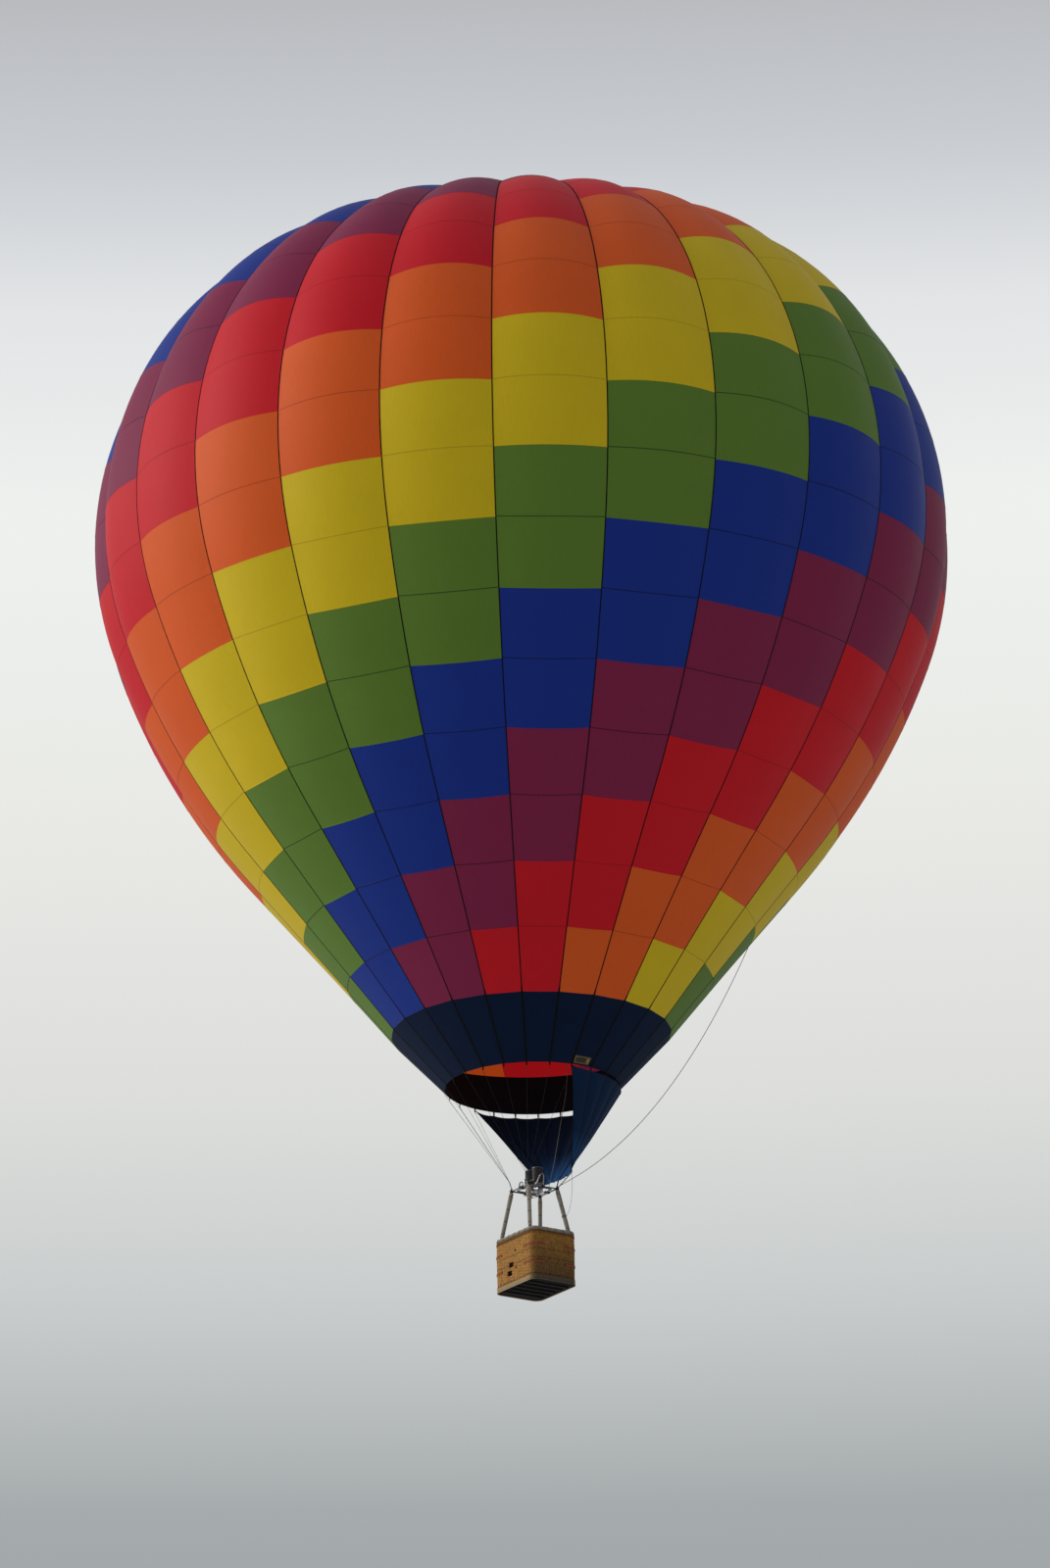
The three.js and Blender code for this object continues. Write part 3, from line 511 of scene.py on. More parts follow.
# Suede has a raised nap: it scatters light evenly, and it wears pale in patches.
SUEDE = hide("suede_grey", "#8e8679", 0.85)
SLEEVE_SUEDE = hide("suede_sleeve", "#8a8274", 0.85)
# Their straps are webbing, flatter and darker than the suede.
SLEEVE_STRAP = woven_cloth("sleeve_strap_webbing", "#6f685c", 0.005, roughness=0.85)
# Rawhide is dried and not tanned: golden, cloudy, smoother than suede, and paler at its edge.
# Rawhide and its bead get painted shade on the basket's +X end.
RAWHIDE = hide("rawhide_golden", "#8c6c37", 0.6, with_painted_shade=True)
HEM_BEAD = hide("rawhide_edge_bead", "#c4b596", 0.55, with_painted_shade=True)
# Willow is boiled before it is peeled, and its bark dyes it a warm brown. It has a low shine.
# All three canes get painted shade on the basket's +X end.
WILLOW = grained_wood("willow_cane", "#825519", "#c8903a", 0.02, 0.65, with_painted_shade=True)
# The stakes are a shade darker than the rows, which paints the shade in the gaps of the weave.
STAKE_CANE = grained_wood("stake_cane", "#6f4619", "#a87432", 0.02, 0.65, with_painted_shade=True)
WALE_CANE = grained_wood("stained_wale_cane", "#4b2f14", "#7d5326", 0.02, 0.65, with_painted_shade=True)
# Plywood under a dark film of resin is painted nearly black for the shade below it. Its grain hardly shows.
PLYWOOD = grained_wood("film_faced_plywood", "#0b0a09", "#171412", 0.012, 0.7, along=(0.05, 1, 1),
                       shine=0.1)
# Brushed stainless steel is a plain grey with soft highlights. Wire rope is dark and dull: painted shade.
STAINLESS = metal("stainless_steel", "#9c9d9e", "#7f8183", 0.4)
WIRE_STEEL = metal("weathered_wire_rope", "#3d3e40", "#2c2d2e", 0.65)
# The blast pipes are drawn bright, with the sharpest highlights. The frame's tube is duller.
PIPE_STEEL = metal("bright_blast_pipe", "#c9c6c0", "#a8a49d", 0.38)
FRAME_STEEL = metal("frame_tube_steel", "#828486", "#626467", 0.45)
# The frame's blocks are painted black. Heat has stained the coils brown and violet.
BLACK_STEEL = metal("black_painted_steel", "#1b1c1e", "#121314", 0.5)
CAN_STEEL = metal("heat_stained_stainless", "#5c5a58", "#363336", 0.45)
# The burner's block and valves are brass under nickel plate: pale grey, with soft highlights.
NICKEL = metal("nickel_plated_brass", "#b9b9b6", "#8b8a87", 0.4)
# Solid nylon poles are dark and slightly waxy.
NYLON_ROD = hide("pole_nylon", "#2a2a2b", 0.5, grain=0.01)
RAWHIDE_LACE = hide("rawhide_lace", "#6d5836", 0.6, grain=0.01)
# The runners are ash, painted nearly black for the shade under the basket.
RUNNER_WOOD = grained_wood("runner_ash", "#151210", "#26201a", 0.012, 0.7, along=(1, 0.05, 1),
                           shine=0.1)
# Lever grips and rubber are moulded: even in colour, with a broad soft shine.
LEVER_RED = hide("red_lever_grip", "#a3211c", 0.45, grain=0.01)
BLACK_RUBBER = hide("black_rubber", "#141414", 0.6, grain=0.01)
# The data pouch is coated ochre cloth with a window, dark behind it, and a plain label.
PLATE_FRAME = hide("plate_pouch_edge", "#6d5526", 0.6, grain=0.02)
PLATE_FACE = hide("plate_pouch_window", "#2b2713", 0.4, grain=0.02)
PLATE_LABEL = hide("plate_pouch_label", "#8d7a4a", 0.5, grain=0.02)
print("finishes made")

# %% [markdown]
# ## The crown line
# A rope of 14 mm runs from the crown ring down one load tape and hangs slack to a corner of the load
# frame. It is the only free cord here, so it comes first. It is a mesh tube along the same points that the
# CAD route has, joined by a centripetal curve, which never overshoots between uneven points.

# %% Crown line
ROPE_DIAMETER = 0.014
CROWN_LINE_ROUTE = [
    (-0.024, 0.179, 7.796), (-0.117, 0.892, 7.766), (-0.195, 1.484, 7.701), (-0.364, 2.768, 7.446),
    (-0.545, 4.139, 6.988), (-0.716, 5.436, 6.348), (-0.869, 6.597, 5.483), (-0.996, 7.567, 4.404),
    (-1.094, 8.309, 3.155), (-1.158, 8.793, 1.784), (-1.185, 9.002, 0.343), (-1.175, 8.927, -1.111),
    (-1.128, 8.571, -2.522), (-1.095, 8.317, -3.196), (-1.046, 8.039, -3.881), (-0.953, 7.522, -5.078),
    (-0.812, 6.725, -6.743), (-0.641, 5.770, -8.485), (-0.457, 4.735, -10.091), (-0.273, 3.701, -11.436),
    (-0.103, 2.746, -12.470), (0.039, 1.950, -13.192), (0.152, 1.313, -13.686), (0.251, 0.756, -14.057),
    (0.322, 0.384, -14.290),
]


def smooth_line(points, steps):
    """A centripetal curve through the points, the same as the CAD's."""
    points = [Vector(p) for p in points]
    ends = [2 * points[0] - points[1]] + points + [2 * points[-1] - points[-2]]
    line = []
    for p0, p1, p2, p3 in zip(ends, ends[1:], ends[2:], ends[3:]):
        t1 = math.sqrt((p1 - p0).length)
        t2 = t1 + math.sqrt((p2 - p1).length)
        t3 = t2 + math.sqrt((p3 - p2).length)
        for k in range(steps):
            t = t1 + (t2 - t1) * k / steps
            a1 = p0.lerp(p1, t / t1)
            a2 = p1.lerp(p2, (t - t1) / (t2 - t1))
            a3 = p2.lerp(p3, (t - t2) / (t3 - t2))
            b1 = a1.lerp(a2, t / t2)
            b2 = a2.lerp(a3, (t - t1) / (t3 - t1))
            line.append(b1.lerp(b2, (t - t1) / (t2 - t1)))
    return line + [points[-1]]


def length_of(line):
    return sum((b - a).length for a, b in zip(line, line[1:]))


crown_route = smooth_line(CROWN_LINE_ROUTE, 12)
crown_line = piece("crown_line_rope", swept(crown_route, circle(ROPE_DIAMETER / 2, 10)), ROPE,
                   stands_for=["crown_line"])
round(length_of(crown_route), 2)
print("crown line", round(length_of(crown_route), 2), "m")

# %% [markdown]
# ## The shape of the envelope
# An inflated envelope is not a sphere. Its load tapes carry the weight, and each tape takes a line that is
# flat at the crown, round at the shoulder and straight near the mouth. Three arcs and a straight cone give
# that line. Between two tapes the hot air pushes the cloth out, and the bulge is fuller where the
# pressure is higher, which is towards the crown. Close to the vent the many tapes pull it flat again.

# %% Envelope profile
TAPE_ARCS = ((11.090, 27.2), (7.380, 109.0), (15.580, 129.2))
CROWN_Z = TAPE_ARCS[0][0] - (TAPE_ARCS[0][0] - TAPE_ARCS[1][0]) * math.cos(math.radians(TAPE_ARCS[0][1]))
GORES = 24
HALF_GORE = math.pi / GORES
FIRST_GORE = math.radians(-30)
PANEL_ROWS = 16
PANEL_HEIGHT = 1.456
GORE_LENGTH = PANEL_ROWS * PANEL_HEIGHT
VENT_EDGE = 2.819
MOUTH_RADIUS = 1.860
MOUTH_Z = -12.090
BULGE_AT_MOUTH = 0.025
BULGE_AT_CROWN = 0.143
PULLED_FLAT, FLAT_RADIUS = 0.75, 4.6
CLOTH_SHOWN = 0.003


def tape_point(distance):
    """Radius, height and steepness of the tape line at a distance from the crown."""
    r, z, slope = 0.0, CROWN_Z, 0.0
    for radius, end in TAPE_ARCS:
        run = min(distance, radius * (math.radians(end) - slope))
        after = slope + run / radius
        r += radius * (math.sin(after) - math.sin(slope))
        z += radius * (math.cos(after) - math.cos(slope))
        distance -= run
        slope = after
        if distance <= 0:
            return r, z, slope
    return r + distance * math.cos(slope), z - distance * math.sin(slope), slope


def cloth_point(tape, across, angle, depth=0.0, fullness=1.0):
    """A point of the gore at that angle. Across runs from -1 at one tape to 1 at the next."""
    r, z, slope = tape
    half_chord = r * math.sin(HALF_GORE)
    height = (z - MOUTH_Z) / (CROWN_Z - MOUTH_Z)
    share = BULGE_AT_MOUTH + height * (BULGE_AT_CROWN - BULGE_AT_MOUTH)
    share *= 1 - PULLED_FLAT * math.exp(-(r / FLAT_RADIUS) ** 4)
    bulge = fullness * share * 2 * half_chord * (1 - across * across)
    outer_x = r * math.cos(HALF_GORE) + bulge * math.sin(slope)
    x = outer_x - depth * math.sin(slope)
    y = across * half_chord * (x / outer_x if outer_x > 0 else 0)
    return Vector((x * math.cos(angle) - y * math.sin(angle), x * math.sin(angle) + y * math.cos(angle),
                   z + (bulge - depth) * math.cos(slope)))


def gore_angle(gore):
    return FIRST_GORE + 2 * HALF_GORE * gore


BAND_TOP = tape_point(VENT_EDGE + GORE_LENGTH)
EVERY_10_CM = [s / 10 for s in range(260)]
print("widest radius", round(max(tape_point(distance)[0] for distance in EVERY_10_CM), 3))

# %% [markdown]
# ## Gores
# Each of the 24 gores is 16 panels sewn one under the other, and every colour takes two panels. The colour
# steps down by one panel from gore to gore, so the pattern climbs round the envelope. The faces get
# their colour by row, so that a colour edge is exactly a seam. A seam is a real ridge: a felled seam is
# four layers of cloth, 20 mm wide and a few millimetres proud. Less light comes through it, so between two
# panels of one colour it shows as a thin line, darkest on plum, blue and green. The inner layer of faces
# takes the inside finish.

# %% Gore rows and colours
GORE_COLUMNS = 12
PANEL_STEPS = 5
SEAM_HALF = 0.010
SEAM_RAMP = 0.003
SEAM_LIFT = 0.0025
ROWS_PER_COLOUR = 2


def panel_colour(gore, row_up):
    """Place in PANEL_COLOURS of a panel, from its gore and its row counted up from the mouth band."""
    return (row_up - gore) // ROWS_PER_COLOUR % len(PANEL_COLOURS)


def gore_rows():
    """Rows of the gore as (distance, lift, panel), and which spans between rows are seams."""
    rows, seams = [], []
    for panel in range(PANEL_ROWS):
        start = VENT_EDGE + panel * PANEL_HEIGHT
        end = start + PANEL_HEIGHT
        near = start + SEAM_HALF + SEAM_RAMP if panel else start
        far = end - SEAM_HALF - SEAM_RAMP if panel < PANEL_ROWS - 1 else end
        for step in range(PANEL_STEPS + 1):
            rows.append((near + (far - near) * step / PANEL_STEPS, 0.0, panel))
        if panel < PANEL_ROWS - 1:
            seams.append(len(rows))
            rows.append((end - SEAM_HALF, SEAM_LIFT, panel))
            rows.append((end + SEAM_HALF, SEAM_LIFT, panel))
    return rows, set(seams)


GORE_ROWS, SEAM_SPANS = gore_rows()
ACROSS = [2 * k / GORE_COLUMNS - 1 for k in range(GORE_COLUMNS + 1)]


def face_finishes(gore):
    """Material place of each face, in the order in which shell makes them."""
    colours = len(PANEL_COLOURS)
    found = []
    for i, (_, _, panel) in enumerate(GORE_ROWS[:-1]):
        above = panel_colour(gore, PANEL_ROWS - 1 - panel)
        below = panel_colour(gore, PANEL_ROWS - 2 - panel)
        outside = above + colours if i in SEAM_SPANS and above == below else above
        found.extend([outside, above + 2 * colours] * GORE_COLUMNS)
    return found


def sheet_area():
    """Flat area of one gore: the arc across a shallow bulge, summed down the panels."""
    area = 0.0
    for (start, _, _), (end, _, _) in zip(GORE_ROWS, GORE_ROWS[1:]):
        row = [cloth_point(tape_point((start + end) / 2), a, 0.0) for a in ACROSS]
        area += length_of(row) * (end - start)
    return area


GORE_AREA = sheet_area()
GORE_WIDTH = max(length_of([cloth_point(tape_point(s), a, 0.0) for a in ACROSS]) for s in EVERY_10_CM)
print("gore", round(GORE_WIDTH, 2), "m wide,", round(GORE_AREA, 2), "square metres")

# %% Gores
JUST_SHORT = 0.9999     # share of a gore's width, so that two gores never share a point


def make_gore(gore):
    angle = gore_angle(gore)
    tapes = [tape_point(distance) for distance, _, _ in GORE_ROWS]
    outer = [[cloth_point(tape, a * JUST_SHORT, angle, -lift) for a in ACROSS]
             for tape, (_, lift, _) in zip(tapes, GORE_ROWS)]
    inner = [[cloth_point(tape, a * JUST_SHORT, angle, CLOTH_SHOWN) for a in ACROSS] for tape in tapes]
    name = f"gore_{gore + 1:02d}"
    made = piece(name + "_cloth", shell(outer, inner), NYLON + NYLON_SEAM + NYLON_INSIDE,
                 stands_for=[name], crease=25)
    mesh = made.data
    finishes = face_finishes(gore)
    rest = [finishes[0]] * (len(mesh.polygons) - len(finishes))
    mesh.polygons.foreach_set("material_index", finishes + rest)
    flat = [(a * tape[0] * math.sin(HALF_GORE), row[0])
            for tape, row in zip(tapes, GORE_ROWS) for a in ACROSS]
    sheet_map = mesh.uv_layers.new(name="flat_cloth")
    for loop in mesh.loops:
        sheet_map.data[loop.index].uv = flat[loop.vertex_index % len(flat)]
    near_tape = mesh.attributes.new("near_tape", "FLOAT", "POINT")
    near_tape.data.foreach_set("value", [abs(a) for _ in range(2 * len(tapes)) for a in ACROSS])


for gore_number in range(GORES):
    make_gore(gore_number)
print(GORES, "gores of", TRIANGLES["gore_01_cloth"], "triangles")

# %% [markdown]
# ## Load tapes
# The tapes carry the whole load. They are sewn over the gore seams, so they lie in the valleys between the
# bulges. Each is a folded strip that follows the cloth of both neighbours, a little proud of it, from
# the vent's edge down over the mouth band, where it is wider. One more tape runs round the vent's edge.

# %% Load tapes
TAPE_HALF = 0.012
BAND_TAPE_HALF = 0.021
TAPE_TOP = 0.003
TAPE_UNDER = -0.001
TAPE_STEP = 0.18
VENT_TAPE_WIDTH, VENT_TAPE_LIFT = 0.05, 0.004
MOUTH_SLOPE = math.pi - math.atan2(BAND_TOP[1] - MOUTH_Z, BAND_TOP[0] - MOUTH_RADIUS)
BAND_LENGTH = math.hypot(BAND_TOP[1] - MOUTH_Z, BAND_TOP[0] - MOUTH_RADIUS)


def band_point(distance):
    """Tape line on the mouth band, at a distance down from its top."""
    share = distance / BAND_LENGTH
    return (BAND_TOP[0] + (MOUTH_RADIUS - BAND_TOP[0]) * share,
            BAND_TOP[1] + (MOUTH_Z - BAND_TOP[1]) * share, MOUTH_SLOPE)


def tape_section(tape, gore):
    """The folded strip between two gores at one point of the tape line."""
    half_chord = tape[0] * math.sin(HALF_GORE)
    edge = (TAPE_HALF if tape[1] > BAND_TOP[1] else BAND_TAPE_HALF) / half_chord
    angle, after = gore_angle(gore), gore_angle(gore + 1)
    fold = [(1 - edge, angle), (1, angle), (-1 + edge, after)]
    return [cloth_point(tape, across, turn, -lift)
            for lift, row in ((TAPE_TOP, fold), (TAPE_UNDER, fold[::-1])) for across, turn in row]


tape_steps = round(GORE_LENGTH / TAPE_STEP)
band_steps = round(BAND_LENGTH / TAPE_STEP)
tape_rows = [tape_point(VENT_EDGE + GORE_LENGTH * k / tape_steps) for k in range(tape_steps + 1)]
tape_rows += [band_point(BAND_LENGTH * k / band_steps) for k in range(1, band_steps + 1)]
tapes = [loft([tape_section(row, gore) for row in tape_rows]) for gore in range(GORES)]


def round_row(tape, columns, depth=0.0, fullness=1.0):
    """Points all the way round at one tape point, gore by gore."""
    return [cloth_point(tape, 2 * k / columns - 1, gore_angle(gore), depth, fullness)
            for gore in range(GORES) for k in range(columns)]


vent_rows = [round_row(tape_point(VENT_EDGE + down), 8, -lift) for down, lift in
             ((0.0, VENT_TAPE_LIFT), (VENT_TAPE_WIDTH, VENT_TAPE_LIFT), (VENT_TAPE_WIDTH, 0.0), (0.0, 0.0))]
vent_tape = loft([list(section) for section in zip(*vent_rows)], ring=True)
piece("load_tapes", merged(tapes + [vent_tape]), LOAD_TAPE, crease=50)
print("load tapes", TRIANGLES["load_tapes"], "triangles")

# %% [markdown]
# ## Mouth band
# Nylon would melt this near the burner, so the lowest metre and a half is aramid cloth, which is darker
# and duller. It is one closed band whose rows follow the gores. Its lower edge is a rolled hem with a rope
# in it, because the wires pull on that edge. An ochre pouch for the balloon's data is sewn to it.

# %% Mouth band
BAND_COLUMNS = 8
HEM_ROPE = 0.009
BAND_GAP = 0.0005
band_rows = [band_point(BAND_LENGTH * k / band_steps) for k in range(band_steps + 1)]
band_rows[0] = (band_rows[0][0], band_rows[0][1] - BAND_GAP, band_rows[0][2])
band_outer = [round_row(row, BAND_COLUMNS) for row in band_rows]
band_inner = [round_row(row, BAND_COLUMNS, CLOTH_SHOWN) for row in band_rows]
mouth_line = round_row(band_point(BAND_LENGTH), BAND_COLUMNS, HEM_ROPE / 2)
hem_roll = swept(mouth_line, circle(HEM_ROPE, 8), ring=True)
mouth_band = piece("mouth_band_cloth", merged([shell(band_outer, band_inner, ring=True), hem_roll]),
                   ARAMID, stands_for=["mouth_band"], crease=60)
band_round = length_of(band_outer[0]), length_of(band_outer[-1])
PLATE_ANGLE = gore_angle(2)


def band_patch(low, high, left, right, lift):
    """A thin patch on the band, from shares of its length and places across one gore."""
    across = [left + (right - left) * k / 6 for k in range(7)]
    outer, inner = [[[cloth_point(band_point(BAND_LENGTH * share), a, PLATE_ANGLE, -out) for a in across]
                     for share in (low, high)] for out in (lift, 0.0)]
    return shell(outer, inner)


piece("plate_pouch", band_patch(0.875, 0.982, -0.87, 0.62, 0.004), PLATE_FRAME)
piece("plate_window", band_patch(0.893, 0.962, -0.74, 0.24, 0.006), PLATE_FACE)
piece("plate_label", band_patch(0.900, 0.955, 0.34, 0.54, 0.006), PLATE_LABEL)
print("mouth band", [round(x, 2) for x in band_round], "m round its edges")

# %% [markdown]
# ## Crown
# The crown ring gathers the 24 load tapes. Below them the parachute valve closes the vent: a disc of cloth
# that hot air holds up against the tapes, and that a line from the basket pulls down. It has a joint of
# its own, so the disc and its shroud lines ride on the body "valve".

# %% Crown ring and tapes
HUB_INNER, HUB_OUTER = 0.120, 0.180
CROSS_TAPE_HALF = 0.020
CROSS_TAPE_THICK = 0.004
CROSS_TAPE_START = HUB_INNER + 0.02
hub_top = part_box("crown_ring")[1].z
hub_bottom = CROWN_Z - 0.011
hub_round = 0.004
hub_profile = [(HUB_INNER + hub_round, hub_bottom), (HUB_OUTER - hub_round, hub_bottom),
               (HUB_OUTER, hub_bottom + hub_round), (HUB_OUTER, hub_top - hub_round),
               (HUB_OUTER - hub_round, hub_top), (HUB_INNER + hub_round, hub_top),
               (HUB_INNER, hub_top - hub_round), (HUB_INNER, hub_bottom + hub_round),
               (HUB_INNER + hub_round, hub_bottom)]


def level_axes(angle):
    """The level directions out from the envelope's axis and round it, at an angle."""
    return Vector((math.cos(angle), math.sin(angle), 0)), Vector((-math.sin(angle), math.cos(angle), 0))


def cross_tape(angle):
    """One tape across the vent, from the ring to the vent's edge."""
    out, side = level_axes(angle)
    sections = []
    for k in range(13):
        r, z, slope = tape_point(CROSS_TAPE_START + (VENT_EDGE - CROSS_TAPE_START) * k / 12)
        top = out * r + Vector((0, 0, z))
        under = top - CROSS_TAPE_THICK * (out * math.sin(slope) + Vector((0, 0, math.cos(slope))))
        wide = side * CROSS_TAPE_HALF
        sections.append([top - wide, top + wide, under + wide, under - wide])
    return loft(sections)


crossing = [cross_tape(gore_angle(gore + 0.5)) for gore in range(GORES)]
piece("crown_hub", turned(hub_profile, 64), FRAME_STEEL)
piece("crown_tapes", merged(crossing), LOAD_TAPE, stands_for=["crown_ring"])

# %% Parachute valve
VALVE_DROP = 0.0166
VALVE_OVERLAP = 0.331
VALVE_FULLNESS = 0.8
VALVE_EDGE_DEPTH = 0.0105
VALVE_COLUMNS = 6
VALVE_START = 0.04


def pushed_in(tape, depth):
    r, z, slope = tape
    return r - depth * math.sin(slope), z - depth * math.cos(slope), slope


valve_tapes = [pushed_in(tape_point(VALVE_START + (VENT_EDGE - VALVE_START) * k / 14), VALVE_DROP)
               for k in range(15)]
seat = VALVE_OVERLAP / PANEL_HEIGHT
first_panel = zip(tape_point(VENT_EDGE), tape_point(VENT_EDGE + PANEL_HEIGHT))
edge_tape = tuple(a + (b - a) * seat for a, b in first_panel)
valve_tapes.append(pushed_in(edge_tape, VALVE_EDGE_DEPTH))
valve_outer, valve_inner = [[round_row(row, VALVE_COLUMNS, depth, VALVE_FULLNESS) for row in valve_tapes]
                            for depth in (0.0, CLOTH_SHOWN)]
valve_edge_line = round_row(valve_tapes[-1], VALVE_COLUMNS, 0.004, VALVE_FULLNESS)
valve_parts = [shell(valve_outer, valve_inner, ring=True),
               swept(valve_edge_line, circle(0.006, 6), ring=True)]
patch_z = CROWN_Z - VALVE_DROP
valve_parts.append(turned([(0.001, patch_z - 0.006), (0.10, patch_z - 0.006), (0.10, patch_z + 0.001),
                           (0.001, patch_z + 0.002)], 32))
valve = piece("valve_cloth", merged(valve_parts), VALVE_CLOTH, body="valve",
              stands_for=["parachute_valve"], crease=60)

# %% [markdown]
# ## Lines inside the envelope
# Twelve shroud lines join the valve's edge to a small ring below its middle, and the vent line runs from
# that ring down through the mouth to the load frame's far tube. The shrouds move with the valve. The vent
# line is made in place and rides on no body.

# %% Valve lines
SHROUDS = 12
SHROUD_RING_Z = 5.2
SHROUD_RING_RADIUS = 0.04
LINE_RADIUS = 0.003
edge_r, edge_z, _ = valve_tapes[-1]
shroud_parts = []
for k in range(SHROUDS):
    turn = gore_angle(2 * k + 0.5)
    rim = Vector((edge_r * math.cos(turn), edge_r * math.sin(turn), edge_z - 0.01))
    low_end = (SHROUD_RING_RADIUS * math.cos(turn), SHROUD_RING_RADIUS * math.sin(turn), SHROUD_RING_Z)
    shroud_parts.append(rod(rim, low_end, LINE_RADIUS, 6))
ring_line = [(x, y, SHROUD_RING_Z) for x, y in circle(SHROUD_RING_RADIUS, 24)]
shroud_parts.append(swept(ring_line, circle(0.006, 8), ring=True))
piece("valve_shrouds", merged(shroud_parts), ROPE, body="valve")

FRAME_Z = -14.339
VENT_LINE_FOOT = Vector((-0.020, 0.358, FRAME_Z + 0.016))
vent_line_route = smooth_line([(0, 0, SHROUD_RING_Z), (0.19, 0.28, -3.0), (0.414, 0.614, -11.81),
                               (0.320, 0.475, -12.93), (0.210, 0.380, -13.70), VENT_LINE_FOOT], 8)
vent_line = piece("vent_line", swept(vent_line_route, circle(0.005, 6)), LINE, body=None)
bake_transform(vent_line)
print("valve shrouds", SHROUDS)

# %% [markdown]
# ## Scoop
# The scoop hangs from the tabs of the mouth band behind the burner and turns the wind up into the mouth. It
# is 13 panels of fireproof cloth. Wind bellies each panel outwards between its seams, and the loose lower
# part falls in soft vertical folds. Its hem holds a rope, and a tie at each end goes to the load frame.

# %% Scoop cloth
TAB_BOTTOM = -12.18085
SCOOP_PANELS = 13
SCOOP_HALF_TURN = 97.5
SCOOP_TOP_RADIUS = 1.862
SCOOP_HEM_HALF = 0.560
SCOOP_HEM_MIDDLE_Y = 0.660
SCOOP_HEM_END_Y = 0.576
SCOOP_HEM_Z = -14.005
SCOOP_BELLY = 0.030
SCOOP_FOLD = 0.034
SCOOP_SAG = 0.010
SCOOP_EDGE_HOLLOW = 0.022
SCOOP_CORNER_RISE = 0.060
NUDGE = 0.01


def scoop_base(side, down):
    """The taut scoop. Side runs from 1 to -1 round it, and down from 0 at the tabs to 1 at the hem."""
    side *= 1 - SCOOP_EDGE_HOLLOW * math.sin(math.pi * max(0.0, min(1.0, down)))
    angle = math.radians(90 - side * SCOOP_HALF_TURN)
    top = Vector((SCOOP_TOP_RADIUS * math.cos(angle), SCOOP_TOP_RADIUS * math.sin(angle),
                  TAB_BOTTOM + SCOOP_CORNER_RISE * abs(side) ** 16))
    hem_y = SCOOP_HEM_MIDDLE_Y + (SCOOP_HEM_END_Y - SCOOP_HEM_MIDDLE_Y) * side * side
    return top.lerp(Vector((SCOOP_HEM_HALF * side, hem_y, SCOOP_HEM_Z)), down)


def scoop_point(side, down, depth=0.0):
    """The scoop with its bellies and folds, pushed in by depth."""
    along = scoop_base(side + NUDGE, down) - scoop_base(side - NUDGE, down)
    fall = scoop_base(side, down + NUDGE) - scoop_base(side, down - NUDGE)
    inward = fall.cross(along).normalized()
    panel = (side + 1) / 2 * SCOOP_PANELS
    share = panel - math.floor(panel + 1e-6)
    belly = 4 * share * (1 - share)
    out = SCOOP_BELLY * belly * math.sin(math.pi * min(1, down + 0.12))
    out += SCOOP_FOLD * down * noise.noise(Vector((panel * 1.1, down * 0.7, 3.0)))
    out += 0.5 * SCOOP_FOLD * math.sin(math.pi * down) * noise.noise(Vector((panel * 2.6, down * 2.2, 9.0)))
    sag = SCOOP_SAG * belly * (1 - down) ** 6
    return scoop_base(side, down) - inward * (out - depth) - Vector((0, 0, sag))


scoop_sides = [1 - 2 * k / (SCOOP_PANELS * 8) for k in range(SCOOP_PANELS * 8 + 1)]
scoop_downs = [k / 36 for k in range(37)]
scoop_outer, scoop_inner = [[[scoop_point(side, down, depth) for side in scoop_sides]
                             for down in scoop_downs] for depth in (0.0, CLOTH_SHOWN)]
hem_bead = swept([scoop_point(side, 1, 0.002) for side in scoop_sides], circle(0.009, 8))
top_bead = swept([scoop_point(side, 0, 0.002) for side in scoop_sides], circle(0.006, 8))
scoop = piece("scoop_cloth", merged([shell(scoop_outer, scoop_inner), hem_bead, top_bead]), SCOOP_CLOTH,
              stands_for=["scoop"], crease=60)
scoop_flat, scoop_hem = [length_of([scoop_base(side, down) for side in scoop_sides]) for down in (0, 1)]
scoop_drop = (scoop_base(1, 1) - scoop_base(1, 0)).length

STRIP = [(-0.010, -0.002), (0.010, -0.002), (0.010, 0.002), (-0.010, 0.002)]
seam_lines = [[scoop_point(1 - 2 * k / SCOOP_PANELS, down, -0.001) for down in scoop_downs]
              for k in range(SCOOP_PANELS + 1)]
scoop_strips = [swept(line, STRIP) for line in seam_lines]


def twisted(start, end, strand, pitch):
    """Two strands laid round each other between two places."""
    start, end = Vector(start), Vector(end)
    length = (end - start).length
    side, up = frames_along([start, end])[0]
    steps = max(6, round(length / pitch * 8))
    strands = []
    for begin in (0.0, math.pi):
        line = []
        for k in range(steps + 1):
            angle = begin + 2 * math.pi * length / pitch * k / steps
            out = side * math.cos(angle) + up * math.sin(angle)
            line.append(start.lerp(end, k / steps) + strand * out)
        strands.append(swept(line, circle(strand, 8)))
    return merged(strands)


hem_ties = [twisted(scoop_point(side, 1), (side * 0.340, 0.372, FRAME_Z + 0.022), 0.007, 0.10)
            for side in (-1, 1)]
piece("scoop_seam_tapes", merged(scoop_strips), SEAM_NAVY)
piece("scoop_ties", merged(hem_ties), ROPE)
print("scoop", round(scoop_flat, 2), "m round its top,", round(scoop_hem, 2), "m along its hem")

# %% [markdown]
# ## Suspension
# A tape tab hangs from the mouth at each load tape. A steel ring in the tab holds a wire rope of 6 mm,
# closed by a pressed sleeve. The rope's dark colour is painted shade. At each corner of the load frame six
# wires end side by side on a pin, and one oval link joins the pin to the frame's eye.

